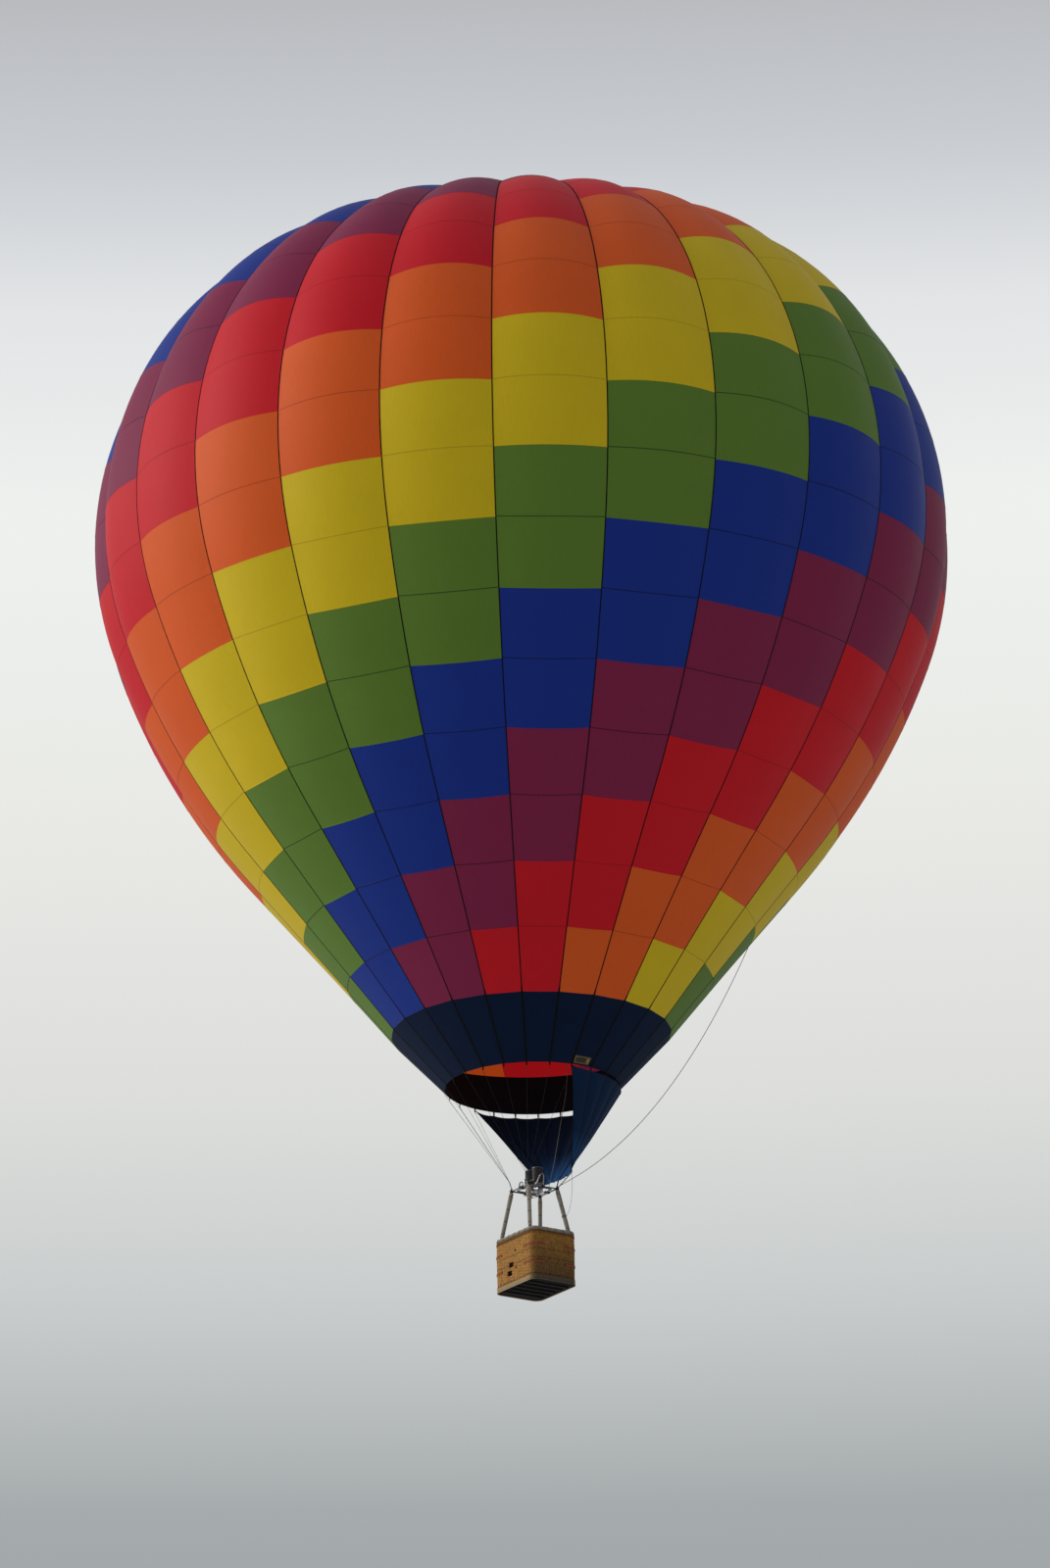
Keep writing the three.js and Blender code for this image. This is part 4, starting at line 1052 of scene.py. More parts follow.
# %% Suspension rigging
FRAME_HALF_X, FRAME_HALF_Y = 0.322, 0.358
EYE_TOP = FRAME_Z + 0.028 + 0.042
TAB_WIDTH, TAB_THICK = 0.036, 0.005
WIRE_RADIUS = 0.003
WIRE_PITCH = 0.0074
WIRE_TOP_RADIUS = 1.8525
PIN_HALF = 0.026
CORNERS = [(1, 1, 1), (2, -1, 1), (3, -1, -1), (4, 1, -1)]


def oval(start, end, half_width, wire, across, steps=24):
    """A closed oval link whose ends lie at start and end."""
    axis = (end - start).normalized()
    side = (across - across.dot(axis) * axis).normalized()
    straight = (end - start).length / 2 - half_width
    centre = (start + end) / 2
    line = []
    for k in range(steps):
        angle = 2 * math.pi * (k + 0.5) / steps
        reach = half_width * math.cos(angle) + math.copysign(straight, math.cos(angle))
        line.append(centre + axis * reach + side * half_width * math.sin(angle))
    return swept(line, circle(wire, 8), ring=True)


def mouth_tab(angle):
    """The folded tape that holds a ring, with the stitched block near its top."""
    out, side = level_axes(angle)
    top, low = MOUTH_Z + 0.05, TAB_BOTTOM + 0.012
    profile = [(0.0, top), (-0.001, (top + low) / 2), (-TAB_THICK / 2, low), (-TAB_THICK, (top + low) / 2),
               (-TAB_THICK + 0.001, top)]
    loop = [out * (MOUTH_RADIUS + depth) + Vector((0, 0, z)) for depth, z in profile]
    return loft([[p - side * TAB_WIDTH / 2 for p in loop], [p + side * TAB_WIDTH / 2 for p in loop]])


for number, side_x, side_y in CORNERS:
    meet = Vector((side_x * (FRAME_HALF_X + 0.030), side_y * (FRAME_HALF_Y + 0.030), FRAME_Z + 0.200))
    eye = Vector((side_x * FRAME_HALF_X, side_y * FRAME_HALF_Y, EYE_TOP - 0.021))
    lean = (meet - eye).normalized()
    _, pin_line = level_axes(math.radians((number - 1) * 90 + 45))
    sideways = Vector((side_y, -side_x, 0))
    tabs, sleeves = [], []
    wires = [rod(meet - pin_line * PIN_HALF, meet + pin_line * PIN_HALF, 0.0065, 12)]
    for end in (-1, 1):
        at = end * (PIN_HALF + 0.0015)
        wires.append(rod(meet + pin_line * (at - 0.0015), meet + pin_line * (at + 0.0015), 0.010, 12))
    for k in range(6):
        angle = math.radians((number - 1) * 90 + (k + 0.5) * 15)
        out, side = level_axes(angle)
        head = out * WIRE_TOP_RADIUS + Vector((0, 0, TAB_BOTTOM + 0.010))
        tabs.append(mouth_tab(angle))
        end = meet + pin_line * (k - 2.5) * WIRE_PITCH
        run = (end - head).normalized()
        ring_end = head + run * 0.034
        wires.append(oval(head - run * 0.010, ring_end, 0.015, 0.0025, side))
        wires.append(rod(ring_end, end, WIRE_RADIUS, 6))
        sleeves.append(rod(ring_end + run * 0.010, ring_end + run * 0.050, 0.0055, 8))
        sleeves.append(rod(end - run * 0.070, end - run * 0.030, 0.0045, 8))
    wires.append(oval(eye - lean * 0.004, meet + lean * 0.010, 0.024, 0.006, sideways))
    catch = eye.lerp(meet, 0.6) + sideways.normalized() * 0.024
    sleeves.append(rod(catch - lean * 0.018, catch + lean * 0.018, 0.0085, 10))
    rigging = merged(wires + sleeves)
    piece(f"suspension_rigging_{number}", rigging, WIRE_STEEL, stands_for=[f"suspension_wires_{number}"])
    piece(f"mouth_tabs_{number}", merged(tabs), LOAD_TAPE)
print("24 wires in four links")

# %% [markdown]
# ## Load frame and gimbal
# The load frame takes the pull of the wires to the poles and the basket. The burner sits in it on two
# crossed pairs of pivots: a ring turns in the frame about X, and the burner turns in the ring about Y.

# %% Load frame
TUBE = 0.016


def bolt(place, axis, radius=0.007, height=0.006):
    """A six-sided bolt head that stands on a face."""
    place, axis = Vector(place), Vector(axis)
    return swept([place - axis * 0.001, place + axis * height], circle(radius, 6))


frame_tubes, frame_blocks, frame_bolts = [], [], []
for side in (-1, 1):
    x, y = side * FRAME_HALF_X, side * FRAME_HALF_Y
    frame_tubes.append(rod((-FRAME_HALF_X, y, FRAME_Z), (FRAME_HALF_X, y, FRAME_Z), TUBE, 20))
    frame_tubes.append(rod((x, -FRAME_HALF_Y, FRAME_Z), (x, FRAME_HALF_Y, FRAME_Z), TUBE, 20))
    frame_blocks.append(block((0.054, 0.070, 0.050), (x, 0, FRAME_Z)))
    frame_blocks.append(block((0.070, 0.044, 0.044), (0, y, FRAME_Z)))
    for reach in (-0.024, 0.024):
        frame_bolts.append(bolt((x, reach, FRAME_Z + 0.025), (0, 0, 1)))
        frame_bolts.append(bolt((x, reach, FRAME_Z - 0.025), (0, 0, -1)))
        frame_bolts.append(bolt((reach, y, FRAME_Z + 0.022), (0, 0, 1)))
for _, side_x, side_y in CORNERS:
    x, y = side_x * FRAME_HALF_X, side_y * FRAME_HALF_Y
    frame_blocks.append(block((0.064, 0.064, 0.056), (x, y, FRAME_Z)))
    eye_ring = [(x, y + 0.0145 * c, EYE_TOP - 0.021 + 0.0145 * s) for c, s in circle(1, 20)]
    frame_tubes.append(swept(eye_ring, circle(0.0062, 8), ring=True))
    for height in (-0.012, 0.012):
        frame_bolts.append(bolt((x + side_x * 0.032, y, FRAME_Z + height), (side_x, 0, 0)))
        frame_bolts.append(bolt((x, y + side_y * 0.032, FRAME_Z + height), (0, side_y, 0)))
piece("load_frame_tubes", merged(frame_tubes), FRAME_STEEL, stands_for=["load_frame"])
piece("load_frame_blocks", merged(frame_blocks), BLACK_STEEL, bevel=0.004)
piece("load_frame_bolts", merged(frame_bolts), STAINLESS, bevel=0.0008)

# %% Gimbal ring
GIMBAL_HALF_X, GIMBAL_HALF_Y = 0.2555, 0.295
GIMBAL_BAR = 0.024
GIMBAL_CORNER = 0.060
PIVOT = 0.008


def rounded_loop(half_x, half_y, corner, steps=8):
    """Points round a rounded rectangle, anticlockwise."""
    loop = []
    for turn, (side_x, side_y) in enumerate(((1, 1), (-1, 1), (-1, -1), (1, -1))):
        for k in range(steps + 1):
            angle = math.pi / 2 * (turn + k / steps)
            loop.append((side_x * (half_x - corner) + corner * math.cos(angle),
                         side_y * (half_y - corner) + corner * math.sin(angle)))
    return loop


half_bar = GIMBAL_BAR / 2
ring_middle = rounded_loop(GIMBAL_HALF_X - half_bar, GIMBAL_HALF_Y - half_bar, GIMBAL_CORNER - half_bar)
bar_edge = half_bar - 0.002
bar_section = [(-half_bar, -bar_edge), (-half_bar, bar_edge), (-bar_edge, half_bar), (bar_edge, half_bar),
               (half_bar, bar_edge), (half_bar, -bar_edge), (bar_edge, -half_bar), (-bar_edge, -half_bar)]
gimbal_parts = [swept([(x, y, FRAME_Z) for x, y in ring_middle], bar_section, ring=True)]
gimbal_blocks = []
for side in (-1, 1):
    gimbal_parts.append(rod((side * (GIMBAL_HALF_X + 0.020), 0, FRAME_Z),
                            (side * (FRAME_HALF_X + 0.034), 0, FRAME_Z), PIVOT, 16))
    gimbal_parts.append(rod((side * (FRAME_HALF_X + 0.028), 0, FRAME_Z),
                            (side * (FRAME_HALF_X + 0.036), 0, FRAME_Z), 0.013, 6))
    gimbal_blocks.append(block((0.034, 0.044, 0.034), (side * (GIMBAL_HALF_X + 0.012), 0, FRAME_Z)))
    gimbal_blocks.append(block((0.064, 0.034, 0.044), (0, side * (GIMBAL_HALF_Y - 0.012), FRAME_Z)))
piece("gimbal_bar", merged(gimbal_parts), FRAME_STEEL, body="gimbal", stands_for=["gimbal_ring"])
piece("gimbal_bosses", merged(gimbal_blocks), BLACK_STEEL, body="gimbal", bevel=0.003)
print("gimbal made")

# %% [markdown]
# ## Burner
# Each of the two burners is a coil of stainless tube in which the liquid fuel boils before it burns. The
# coils stand on ribbed bases over one nickel-plated block with the blast valves. Beside each coil a blast
# pipe climbs, bends over and comes down to its valve, and a thin pilot pipe runs up to the base.

# %% Burner block
BURNER_X = 0.127
CAN_BOTTOM = 0.1303
CAN_TOP = 0.450
VALVE_ROD_Z = FRAME_Z - 0.105


def over_frame(points):
    """Places whose heights are given from the middle of the load frame."""
    return [(x, y, FRAME_Z + z) for x, y, z in points]


burner_hard, burner_round, burner_pipes, burner_levers = [], [], [], []
burner_hard.append(block((0.056, 0.392, 0.046), (0, 0, FRAME_Z)))
burner_hard.append(block((0.400, 0.084, 0.056), (0, 0, FRAME_Z)))
rib_profile = [(0.001, 0.024), (0.060, 0.024)]
for k in range(4):
    level = 0.024 + 0.024 * k
    rib_profile += [(0.062, level + 0.003), (0.078, level + 0.008), (0.080, level + 0.012),
                    (0.078, level + 0.016), (0.062, level + 0.021)]
rib_profile += [(0.064, 0.120), (0.070, 0.124), (0.070, CAN_BOTTOM - 0.0003), (0.001, CAN_BOTTOM - 0.0003)]
valve_profile = [(0.001, -0.150), (0.020, -0.150), (0.026, -0.144), (0.026, -0.100), (0.022, -0.096),
                 (0.022, -0.070), (0.026, -0.066), (0.026, -0.030), (0.001, -0.030)]
for side in (-1, 1):
    x = side * BURNER_X
    burner_round.append(rod((0, side * 0.180, FRAME_Z), (0, side * 0.293, FRAME_Z), PIVOT, 16))
    burner_round.append(rod((0, side * 0.190, FRAME_Z), (0, side * 0.212, FRAME_Z), 0.015, 6))
    burner_round.append(turned(rib_profile, 32, (x, 0, FRAME_Z)))
    burner_round.append(turned(valve_profile, 24, (x, 0, FRAME_Z)))
    for start, end, radius, sides in ((0, -0.070, 0.013, 16), (-0.068, -0.100, 0.018, 6),
                                      (-0.098, -0.120, 0.012, 16)):
        burner_round.append(rod((x, start, VALVE_ROD_Z), (x, end, VALVE_ROD_Z), radius, sides))
    handle = over_frame([(x, -0.112, -0.112), (x, -0.140, -0.112), (x, -0.187, -0.116)])
    burner_levers.append(swept(handle, [(0.011 * a, 0.006 * b) for a, b in circle(1, 12)]))
    for reach in (-0.030, 0.030):
        for y in (-0.030, 0.030):
            burner_round.append(bolt((x + reach, y, FRAME_Z + 0.028), (0, 0, 1)))
    blast_pipe = [(side * a, side * b, FRAME_Z + c) for a, b, c in (
        (0.170, -0.060, 0.060), (0.205, -0.085, 0.075), (0.232, -0.080, 0.110), (0.250, -0.050, 0.200),
        (0.262, -0.013, 0.282), (0.250, 0.040, 0.306), (0.235, 0.080, 0.280), (0.222, 0.084, 0.160),
        (0.213, 0.083, 0.050), (0.206, 0.070, -0.020), (0.175, 0.040, -0.080), (0.140, 0.010, -0.100))]
    burner_pipes.append(swept(smooth_line(blast_pipe, 6), circle(0.011, 12)))
    pilot = over_frame([(x, -0.030, -0.060), (x + side * 0.030, -0.076, -0.030),
                        (x + side * 0.060, -0.092, 0.050), (x + side * 0.066, -0.084, 0.120)])
    burner_pipes.append(swept(smooth_line(pilot, 6), circle(0.005, 8)))
cross_pipe = over_frame([(-BURNER_X, 0.024, -0.130), (-0.060, 0.060, -0.138), (0.060, 0.060, -0.138),
                         (BURNER_X, 0.024, -0.130)])
burner_pipes.append(swept(smooth_line(cross_pipe, 8), circle(0.0075, 10)))
gauge = turned([(0.001, 0.0), (0.026, 0.0), (0.028, 0.003), (0.028, 0.016), (0.025, 0.018),
                (0.001, 0.018)], 24)
gauge_turn = Matrix.Translation((0, -0.050, FRAME_Z - 0.045)) @ Matrix.Rotation(math.pi / 2, 4, "X")
burner_hard.append(placed(gauge, gauge_turn))
piece("burner_castings", merged(burner_hard), NICKEL, body="burner", stands_for=["burner_block"],
      bevel=0.003)
piece("burner_fittings", merged(burner_round), NICKEL, body="burner")
piece("burner_pipes", merged(burner_pipes), PIPE_STEEL, body="burner")
piece("burner_levers", merged(burner_levers), LEVER_RED, body="burner")

# %% Coils
COIL_RADIUS = 0.108
COIL_TUBE = 0.0088
COIL_TURNS = 15
COIL_STEPS = 40
JET_RING = 0.052
TIE_ROD_RADIUS = 0.0985


def ring_over(centre, radius, up, sides):
    """Points of a level ring over a place."""
    return [centre + Vector((x, y, up)) for x, y in circle(radius, sides)]


for number, side in ((1, -1), (2, 1)):
    centre = Vector((side * BURNER_X, 0, FRAME_Z))
    height = CAN_TOP - CAN_BOTTOM - 2 * COIL_TUBE - 0.008
    coil = []
    for k in range(COIL_TURNS * COIL_STEPS + 1):
        angle = 2 * math.pi * k / COIL_STEPS
        rise = CAN_BOTTOM + 0.004 + COIL_TUBE + height * k / (COIL_TURNS * COIL_STEPS)
        coil.append(centre + Vector((COIL_RADIUS * math.cos(angle), COIL_RADIUS * math.sin(angle), rise)))
    base_plate = [(r, CAN_BOTTOM + up) for r, up in (
        (0.001, 0), (0.117, 0), (0.119, 0.002), (0.119, 0.005), (0.117, 0.007), (0.001, 0.007))]
    parts = [swept(coil, circle(COIL_TUBE, 8)), turned(base_plate, 40, centre)]
    parts.append(swept(ring_over(centre, JET_RING, CAN_BOTTOM + 0.034, 32), circle(0.008, 10), ring=True))
    for foot in ring_over(centre, JET_RING, CAN_BOTTOM + 0.040, 12):
        parts.append(rod(foot, foot + Vector((0, 0, 0.012)), 0.004, 8))
    low = centre + Vector((0, 0, CAN_BOTTOM))
    parts.append(rod(low, centre + Vector((0, 0, CAN_BOTTOM + 0.080)), 0.018, 16))
    for x, y in circle(TIE_ROD_RADIUS, 4, math.pi / 4):
        parts.append(rod(centre + Vector((x, y, CAN_BOTTOM + 0.003)),
                         centre + Vector((x, y, CAN_TOP - 0.004)), 0.0035, 8))
    piece(f"burner_coil_{number}", merged(parts), CAN_STEEL, body="burner",
          stands_for=[f"burner_can_{number}"], crease=50)
    top_ring = ring_over(centre, 0.110, CAN_TOP - 0.007, 48)
    piece(f"burner_top_ring_{number}", swept(top_ring, circle(0.0068, 10), ring=True), STAINLESS,
          body="burner")
print("coils of", COIL_TURNS, "turns")

# %% [markdown]
# ## Padded pieces
# The rim, the pole sleeves and the cylinder jackets are soft, so their skins are blown up by a cloth
# simulation. The skin is remeshed evenly, held where it is laced or strapped, and pressed out from inside
# for 20 frames. No point may move further than a cap, so the piece stays in its place.

# %% Filling by simulation
SIMULATION_FRAMES = 20
SKIN_STIFFNESS, SKIN_BENDING = 20, 0.3


def evaluated_mesh(made):
    graph = bpy.context.evaluated_depsgraph_get()
    return bpy.data.meshes.new_from_object(made.evaluated_get(graph))


def fill(made, voxel, pressure, cap, is_held):
    """Blows up a closed skin. Points where is_held(place) is true stay where they are."""
    finish = made.data.materials[0]
    skin = new_object(made.name + "_skin", made.data.copy())
    remesh = skin.modifiers.new("even_skin", "REMESH")
    remesh.mode = "VOXEL"
    remesh.voxel_size = voxel
    even = evaluated_mesh(skin)
    skin.modifiers.clear()
    skin.data = even
    start = [v.co.copy() for v in even.vertices]
    held = skin.vertex_groups.new(name="held")
    held.add([i for i, place in enumerate(start) if is_held(place)], 1.0, "REPLACE")
    cloth = skin.modifiers.new("filling", "CLOTH")
    settings = cloth.settings
    settings.use_pressure = True
    settings.uniform_pressure_force = pressure
    settings.vertex_group_mass = "held"
    settings.tension_stiffness = SKIN_STIFFNESS
    settings.compression_stiffness = SKIN_STIFFNESS
    settings.bending_stiffness = SKIN_BENDING
    settings.effector_weights.gravity = 0
    cloth.collision_settings.use_collision = False
    cloth.point_cache.frame_start = 1
    cloth.point_cache.frame_end = SIMULATION_FRAMES
    for moment in range(1, SIMULATION_FRAMES + 1):
        bpy.context.scene.frame_set(moment)
    swollen = evaluated_mesh(skin)
    for vertex, place in zip(swollen.vertices, start):
        move = vertex.co - place
        if move.length > cap:
            vertex.co = place + move * (cap / move.length)
    bpy.data.objects.remove(skin)
    bpy.context.scene.frame_set(1)
    swollen.materials.clear()
    swollen.materials.append(finish)
    swollen.polygons.foreach_set("use_smooth", [True] * len(swollen.polygons))
    made.data = swollen


def soften(made):
    """Rounds a filled skin off at render time."""
    made.modifiers.new("soft_skin", "SUBSURF").render_levels = 1


def mirror_piece(made, corner, node=None, softened=False):
    """The same piece in another corner, riding on the root too."""
    number, side_x, side_y = corner
    mesh = made.data.copy()
    mesh.transform(Matrix.Diagonal((side_x, side_y, 1, 1)))
    if side_x * side_y < 0:
        mesh.flip_normals()
    other = new_object(made.name.replace("_1", f"_{number}"), mesh)
    if softened:
        soften(other)
    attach(other, "root")
    if node:
        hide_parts(f"{node}_{number}")


# %% [markdown]
# ## Pole sleeves
# Four nylon poles keep the load frame off the basket. Each wears a padded suede sleeve that also hides the
# fuel hose, closed by a lapped seam and held by straps. One sleeve is made and filled, and the other
# three are mirror copies of it.

# %% Poles
RIM_TOP = -15.351
SOCKET_X, SOCKET_Y = 0.530, 0.483
SOCKET_ABOVE = 0.020
POLE_SLEEVE_RADIUS = 0.043
POLE_FOOT = Vector((SOCKET_X, SOCKET_Y, RIM_TOP + SOCKET_ABOVE + 0.0003))
POLE_HEAD = Vector((FRAME_HALF_X, FRAME_HALF_Y, FRAME_Z - 0.0283))
POLE_RUN = (POLE_HEAD - POLE_FOOT).normalized()
POLE_LENGTH = (POLE_HEAD - POLE_FOOT).length
SLEEVE_BANDS = (0.09, 0.36, 0.63, 0.90)
BAND_HOLD = 0.012
ROUND_24 = [2 * math.pi * k / 24 for k in range(24)]


def pole_place(share, radius, angle):
    side = POLE_RUN.cross(Vector((0, 1, 0))).normalized()
    up = POLE_RUN.cross(side)
    out = side * radius * math.cos(angle)
    return POLE_FOOT.lerp(POLE_HEAD, share) + out + up * radius * math.sin(angle)


def sleeve_radius(share):
    dip = min(abs(share - band) for band in SLEEVE_BANDS)
    taper = min(1.0, 0.80 + 6 * min(share, 1 - share))
    flare = 0.004 * math.exp(-((share - 0.84) * POLE_LENGTH / 0.10) ** 2)
    return POLE_SLEEVE_RADIUS * taper + flare - 0.003 * math.exp(-(dip * POLE_LENGTH / 0.018) ** 2)


sleeve_shares = [0.006 + 0.988 * k / 90 for k in range(91)]
sleeve_rows = [[pole_place(share, sleeve_radius(share), a) for a in ROUND_24] for share in sleeve_shares]
sleeve = piece("pole_sleeve_1", loft(sleeve_rows), SLEEVE_SUEDE, stands_for=["pole_1"])


def at_band(place):
    share = (place - POLE_FOOT).dot(POLE_RUN) / POLE_LENGTH
    at_end = share < 0.02 or share > 0.98
    return at_end or any(abs(share - band) * POLE_LENGTH < BAND_HOLD for band in SLEEVE_BANDS)


fill(sleeve, 0.008, 4.0, 0.006, at_band)
soften(sleeve)
sleeve_trim = []
for share in SLEEVE_BANDS:
    top = sleeve_radius(share) + 0.0035
    under = top - 0.003
    loops = [[pole_place(share + along / POLE_LENGTH, radius, a) for a in ROUND_24]
             for along, radius in ((-0.011, under), (-0.011, top), (0.011, top), (0.011, under))]
    sleeve_trim.append(loft(loops))
lap = [pole_place(0.02 + 0.96 * k / 60, sleeve_radius(0.02 + 0.96 * k / 60) + 0.006, math.radians(205))
       for k in range(61)]
sleeve_lap = swept(lap, [(0.006 * a, 0.003 * b) for a, b in circle(1, 8)])
pole_rod = rod(POLE_FOOT, POLE_FOOT + POLE_RUN * 0.03, 0.024, 20)
pole_end = rod(POLE_HEAD - POLE_RUN * 0.03, POLE_HEAD, 0.022, 20)
straps_made = piece("pole_straps_1", merged(sleeve_trim), SLEEVE_STRAP)
seam_made = piece("pole_seam_1", sleeve_lap, SLEEVE_SUEDE)
rods_made = piece("pole_ends_1", merged([pole_rod, pole_end]), NYLON_ROD)
for corner in CORNERS[1:]:
    mirror_piece(sleeve, corner, node="pole", softened=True)
    mirror_piece(straps_made, corner)
    mirror_piece(seam_made, corner)
    mirror_piece(rods_made, corner)
print("four pole sleeves")

# %% [markdown]
# ## Scoop line
# A thin line drops from the scoop's right corner to trim it. It hangs a little slack, and it is tied round
# the pole over a third of the way up.

# %% Scoop line
line_knot = POLE_FOOT.lerp(POLE_HEAD, 0.37)
across, over = frames_along([POLE_FOOT, POLE_HEAD])[0]
scoop_line = smooth_line([(0.558, 0.576, -14.012), (0.563, 0.582, -14.25), (0.545, 0.570, -14.56),
                          (0.500, 0.530, -14.84), line_knot + Vector((0.020, 0.044, 0.006))], 6)
knot_turns = [line_knot + POLE_RUN * 0.0011 * k / 3 + 0.0485 * (across * math.cos(a) + over * math.sin(a))
              for k, a in ((k, 2 * math.pi * k / 24) for k in range(73))]
piece("scoop_line", merged([swept(line, circle(0.0035, 6)) for line in (scoop_line, knot_turns)]), LINE)
print("scoop line", round(length_of(scoop_line), 2), "m")

# %% [markdown]
# ## Fuel hose
# The near pole's sleeve is wider at its top, where the fuel hose leaves it for the burner. A clip on the
# gimbal holds the hose halfway. A spare length of pilot hose hangs coiled on the load frame.

# %% Fuel hose
HOSE_CLIP = Vector((0.172, -0.295, FRAME_Z + 0.080))


def near_pole(share, radius, angle):
    at = pole_place(share, radius, angle)
    return Vector((at.x, -at.y, at.z))


wrap_rows = []
for k in range(31):
    share = 0.70 + 0.27 * k / 30
    edge = min(1.0, 5 * k / 30, 5 * (30 - k) / 30)
    fold = 0.0016 * math.sin(k * 1.9)
    wrap_rows.append([near_pole(share, 0.0430 + 0.0100 * edge ** 0.5 + fold * math.sin(3 * a + k), a)
                      for a in ROUND_24])
piece("hose_wrap", loft(wrap_rows), SLEEVE_SUEDE)
low_hose = smooth_line([near_pole(0.93, 0.046, 1.6), (0.335, -0.405, FRAME_Z + 0.010),
                        (0.270, -0.370, FRAME_Z + 0.075), HOSE_CLIP], 8)
high_hose = smooth_line([HOSE_CLIP, (0.165, -0.235, FRAME_Z + 0.110), (0.168, -0.160, FRAME_Z + 0.165),
                         (0.172, -0.102, FRAME_Z + 0.193)], 8)
for name, line, ends in (("fuel_hose_low", low_hose, ("root", "gimbal")),
                         ("fuel_hose_high", high_hose, ("gimbal", "burner"))):
    hose = piece(name, swept(line, circle(0.009, 10)), HOSE, body=None)
    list(ends)
    line[0]
    line[-1]
    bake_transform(hose)
clip_ring = [HOSE_CLIP + Vector((0, 0.012 * c, 0.012 * s)) for c, s in circle(1, 20)]
hose_end = Vector(high_hose[-1])
aim = (hose_end - Vector(high_hose[-3])).normalized()
hose_nut = merged([swept([hose_end - aim * 0.024, hose_end - aim * 0.002], circle(0.0135, 6)),
                   swept([hose_end - aim * 0.002, hose_end + aim * 0.010], circle(0.0085, 12))])
piece("hose_nut", hose_nut, STAINLESS, body="burner", bevel=0.001)
clip_post = rod((0.172, -0.295, FRAME_Z + 0.008), HOSE_CLIP - Vector((0, 0, 0.008)), 0.005, 10)
piece("hose_clip", merged([clip_post, swept(clip_ring, circle(0.004, 8), ring=True)]), STAINLESS,
      body="gimbal")
loop_centre = Vector((0.039, -0.358, FRAME_Z + 0.050))
loop_turns = [loop_centre + Vector((0.065 * math.cos(a), 0.006 * math.sin(a * 0.5), 0.065 * math.sin(a)))
              for a in (2 * math.pi * k / 24 for k in range(49))]
piece("hose_loop", merged([swept(loop_turns, circle(0.008, 8)),
                           block((0.105, 0.050, 0.046), (0.020, -0.358, FRAME_Z)),
                           block((0.030, 0.046, 0.050), (0.105, -0.358, FRAME_Z))]), BLACK_RUBBER,
      bevel=0.004)
print("fuel hose", round(length_of(low_hose) + length_of(high_hose), 2), "m outside its sleeve")

# %% [markdown]
# ## The basket's outline
# The basket is a rounded rectangle. Everything on its wall is placed by a distance round that outline, and
# by how far out and how high it is. The woven wall bellies a little below the rim, as real ones do.

# %% Basket outline
BASKET_HALF_X, BASKET_HALF_Y = 0.740, 0.560
BASKET_CORNER = 0.170
WALL_THICK = 0.028
WALL_BOTTOM = -16.512
RIM_HEIGHT = 0.090
RIM_WIDTH = 0.100
RIM_OVERHANG = 0.006
WALL_TOP = RIM_TOP - RIM_HEIGHT - 0.0003
WALL_BELLY = 0.010
CORNER_ARC = BASKET_CORNER * math.pi / 2
STRAIGHT_X, STRAIGHT_Y = 2 * (BASKET_HALF_X - BASKET_CORNER), 2 * (BASKET_HALF_Y - BASKET_CORNER)
SIDES = [((1, 0), BASKET_HALF_X, STRAIGHT_Y), ((0, 1), BASKET_HALF_Y, STRAIGHT_X),
         ((-1, 0), BASKET_HALF_X, STRAIGHT_Y), ((0, -1), BASKET_HALF_Y, STRAIGHT_X)]
PERIMETER = sum(straight for _, _, straight in SIDES) + 4 * CORNER_ARC


def outline_at(distance):
    """Place and outward direction, level, at a distance round the basket's outline."""
    distance %= PERIMETER
    for (nx, ny), reach, straight in SIDES:
        normal, ahead = Vector((nx, ny, 0)), Vector((-ny, nx, 0))
        if distance <= straight:
            return normal * reach + ahead * (distance - straight / 2), normal
        distance -= straight
        if distance <= CORNER_ARC:
            angle = distance / BASKET_CORNER
            out = normal * math.cos(angle) + ahead * math.sin(angle)
            centre = normal * (reach - BASKET_CORNER) + ahead * straight / 2
            return centre + out * BASKET_CORNER, out
        distance -= CORNER_ARC
    return outline_at(0)


def distance_of(x, y):
    """Distance round the outline of the point nearest to a place."""
    steps = [PERIMETER * k / 4000 for k in range(4000)]
    return min(steps, key=lambda s: (outline_at(s)[0] - Vector((x, y, 0))).length)


def belly(z):
    share = (WALL_TOP - z) / (WALL_TOP - WALL_BOTTOM)
    return WALL_BELLY * math.sin(math.pi * max(0.0, min(1.0, share)) ** 0.6)


def on_wall(distance, out, z):
    place, normal = outline_at(distance)
    return place + normal * out + Vector((0, 0, z))


def wall_line(out, z):
    """A level line all the way round the wall."""
    return [on_wall(PERIMETER * k / 200, out, z) for k in range(200)]


# %% [markdown]
# ## Rim roll
# The rim is a foam roll in suede, laced to the wicker. The lacing pulls it in every 20 cm, so the roll
# swells between. A cuff stands round the foot of each pole.

# %% Rim
RIM_MIDDLE = RIM_OVERHANG - RIM_WIDTH / 2
RIM_CENTRE_Z = RIM_TOP - RIM_HEIGHT / 2
LACE_COUNT = 24
LACE_PITCH = PERIMETER / LACE_COUNT
RIM_SQUARENESS = 2.6


def rim_point(distance, c, s, shrink, pull=1.0):
    """A point on the rim's rounded square, towards (c, s) from its middle."""
    size = (abs(c) ** RIM_SQUARENESS + abs(s) ** RIM_SQUARENESS) ** (-1 / RIM_SQUARENESS)
    return on_wall(distance, RIM_MIDDLE + (RIM_WIDTH / 2 - shrink) * size * c * pull,
                   RIM_CENTRE_Z + (RIM_HEIGHT / 2 - shrink) * size * s * pull)


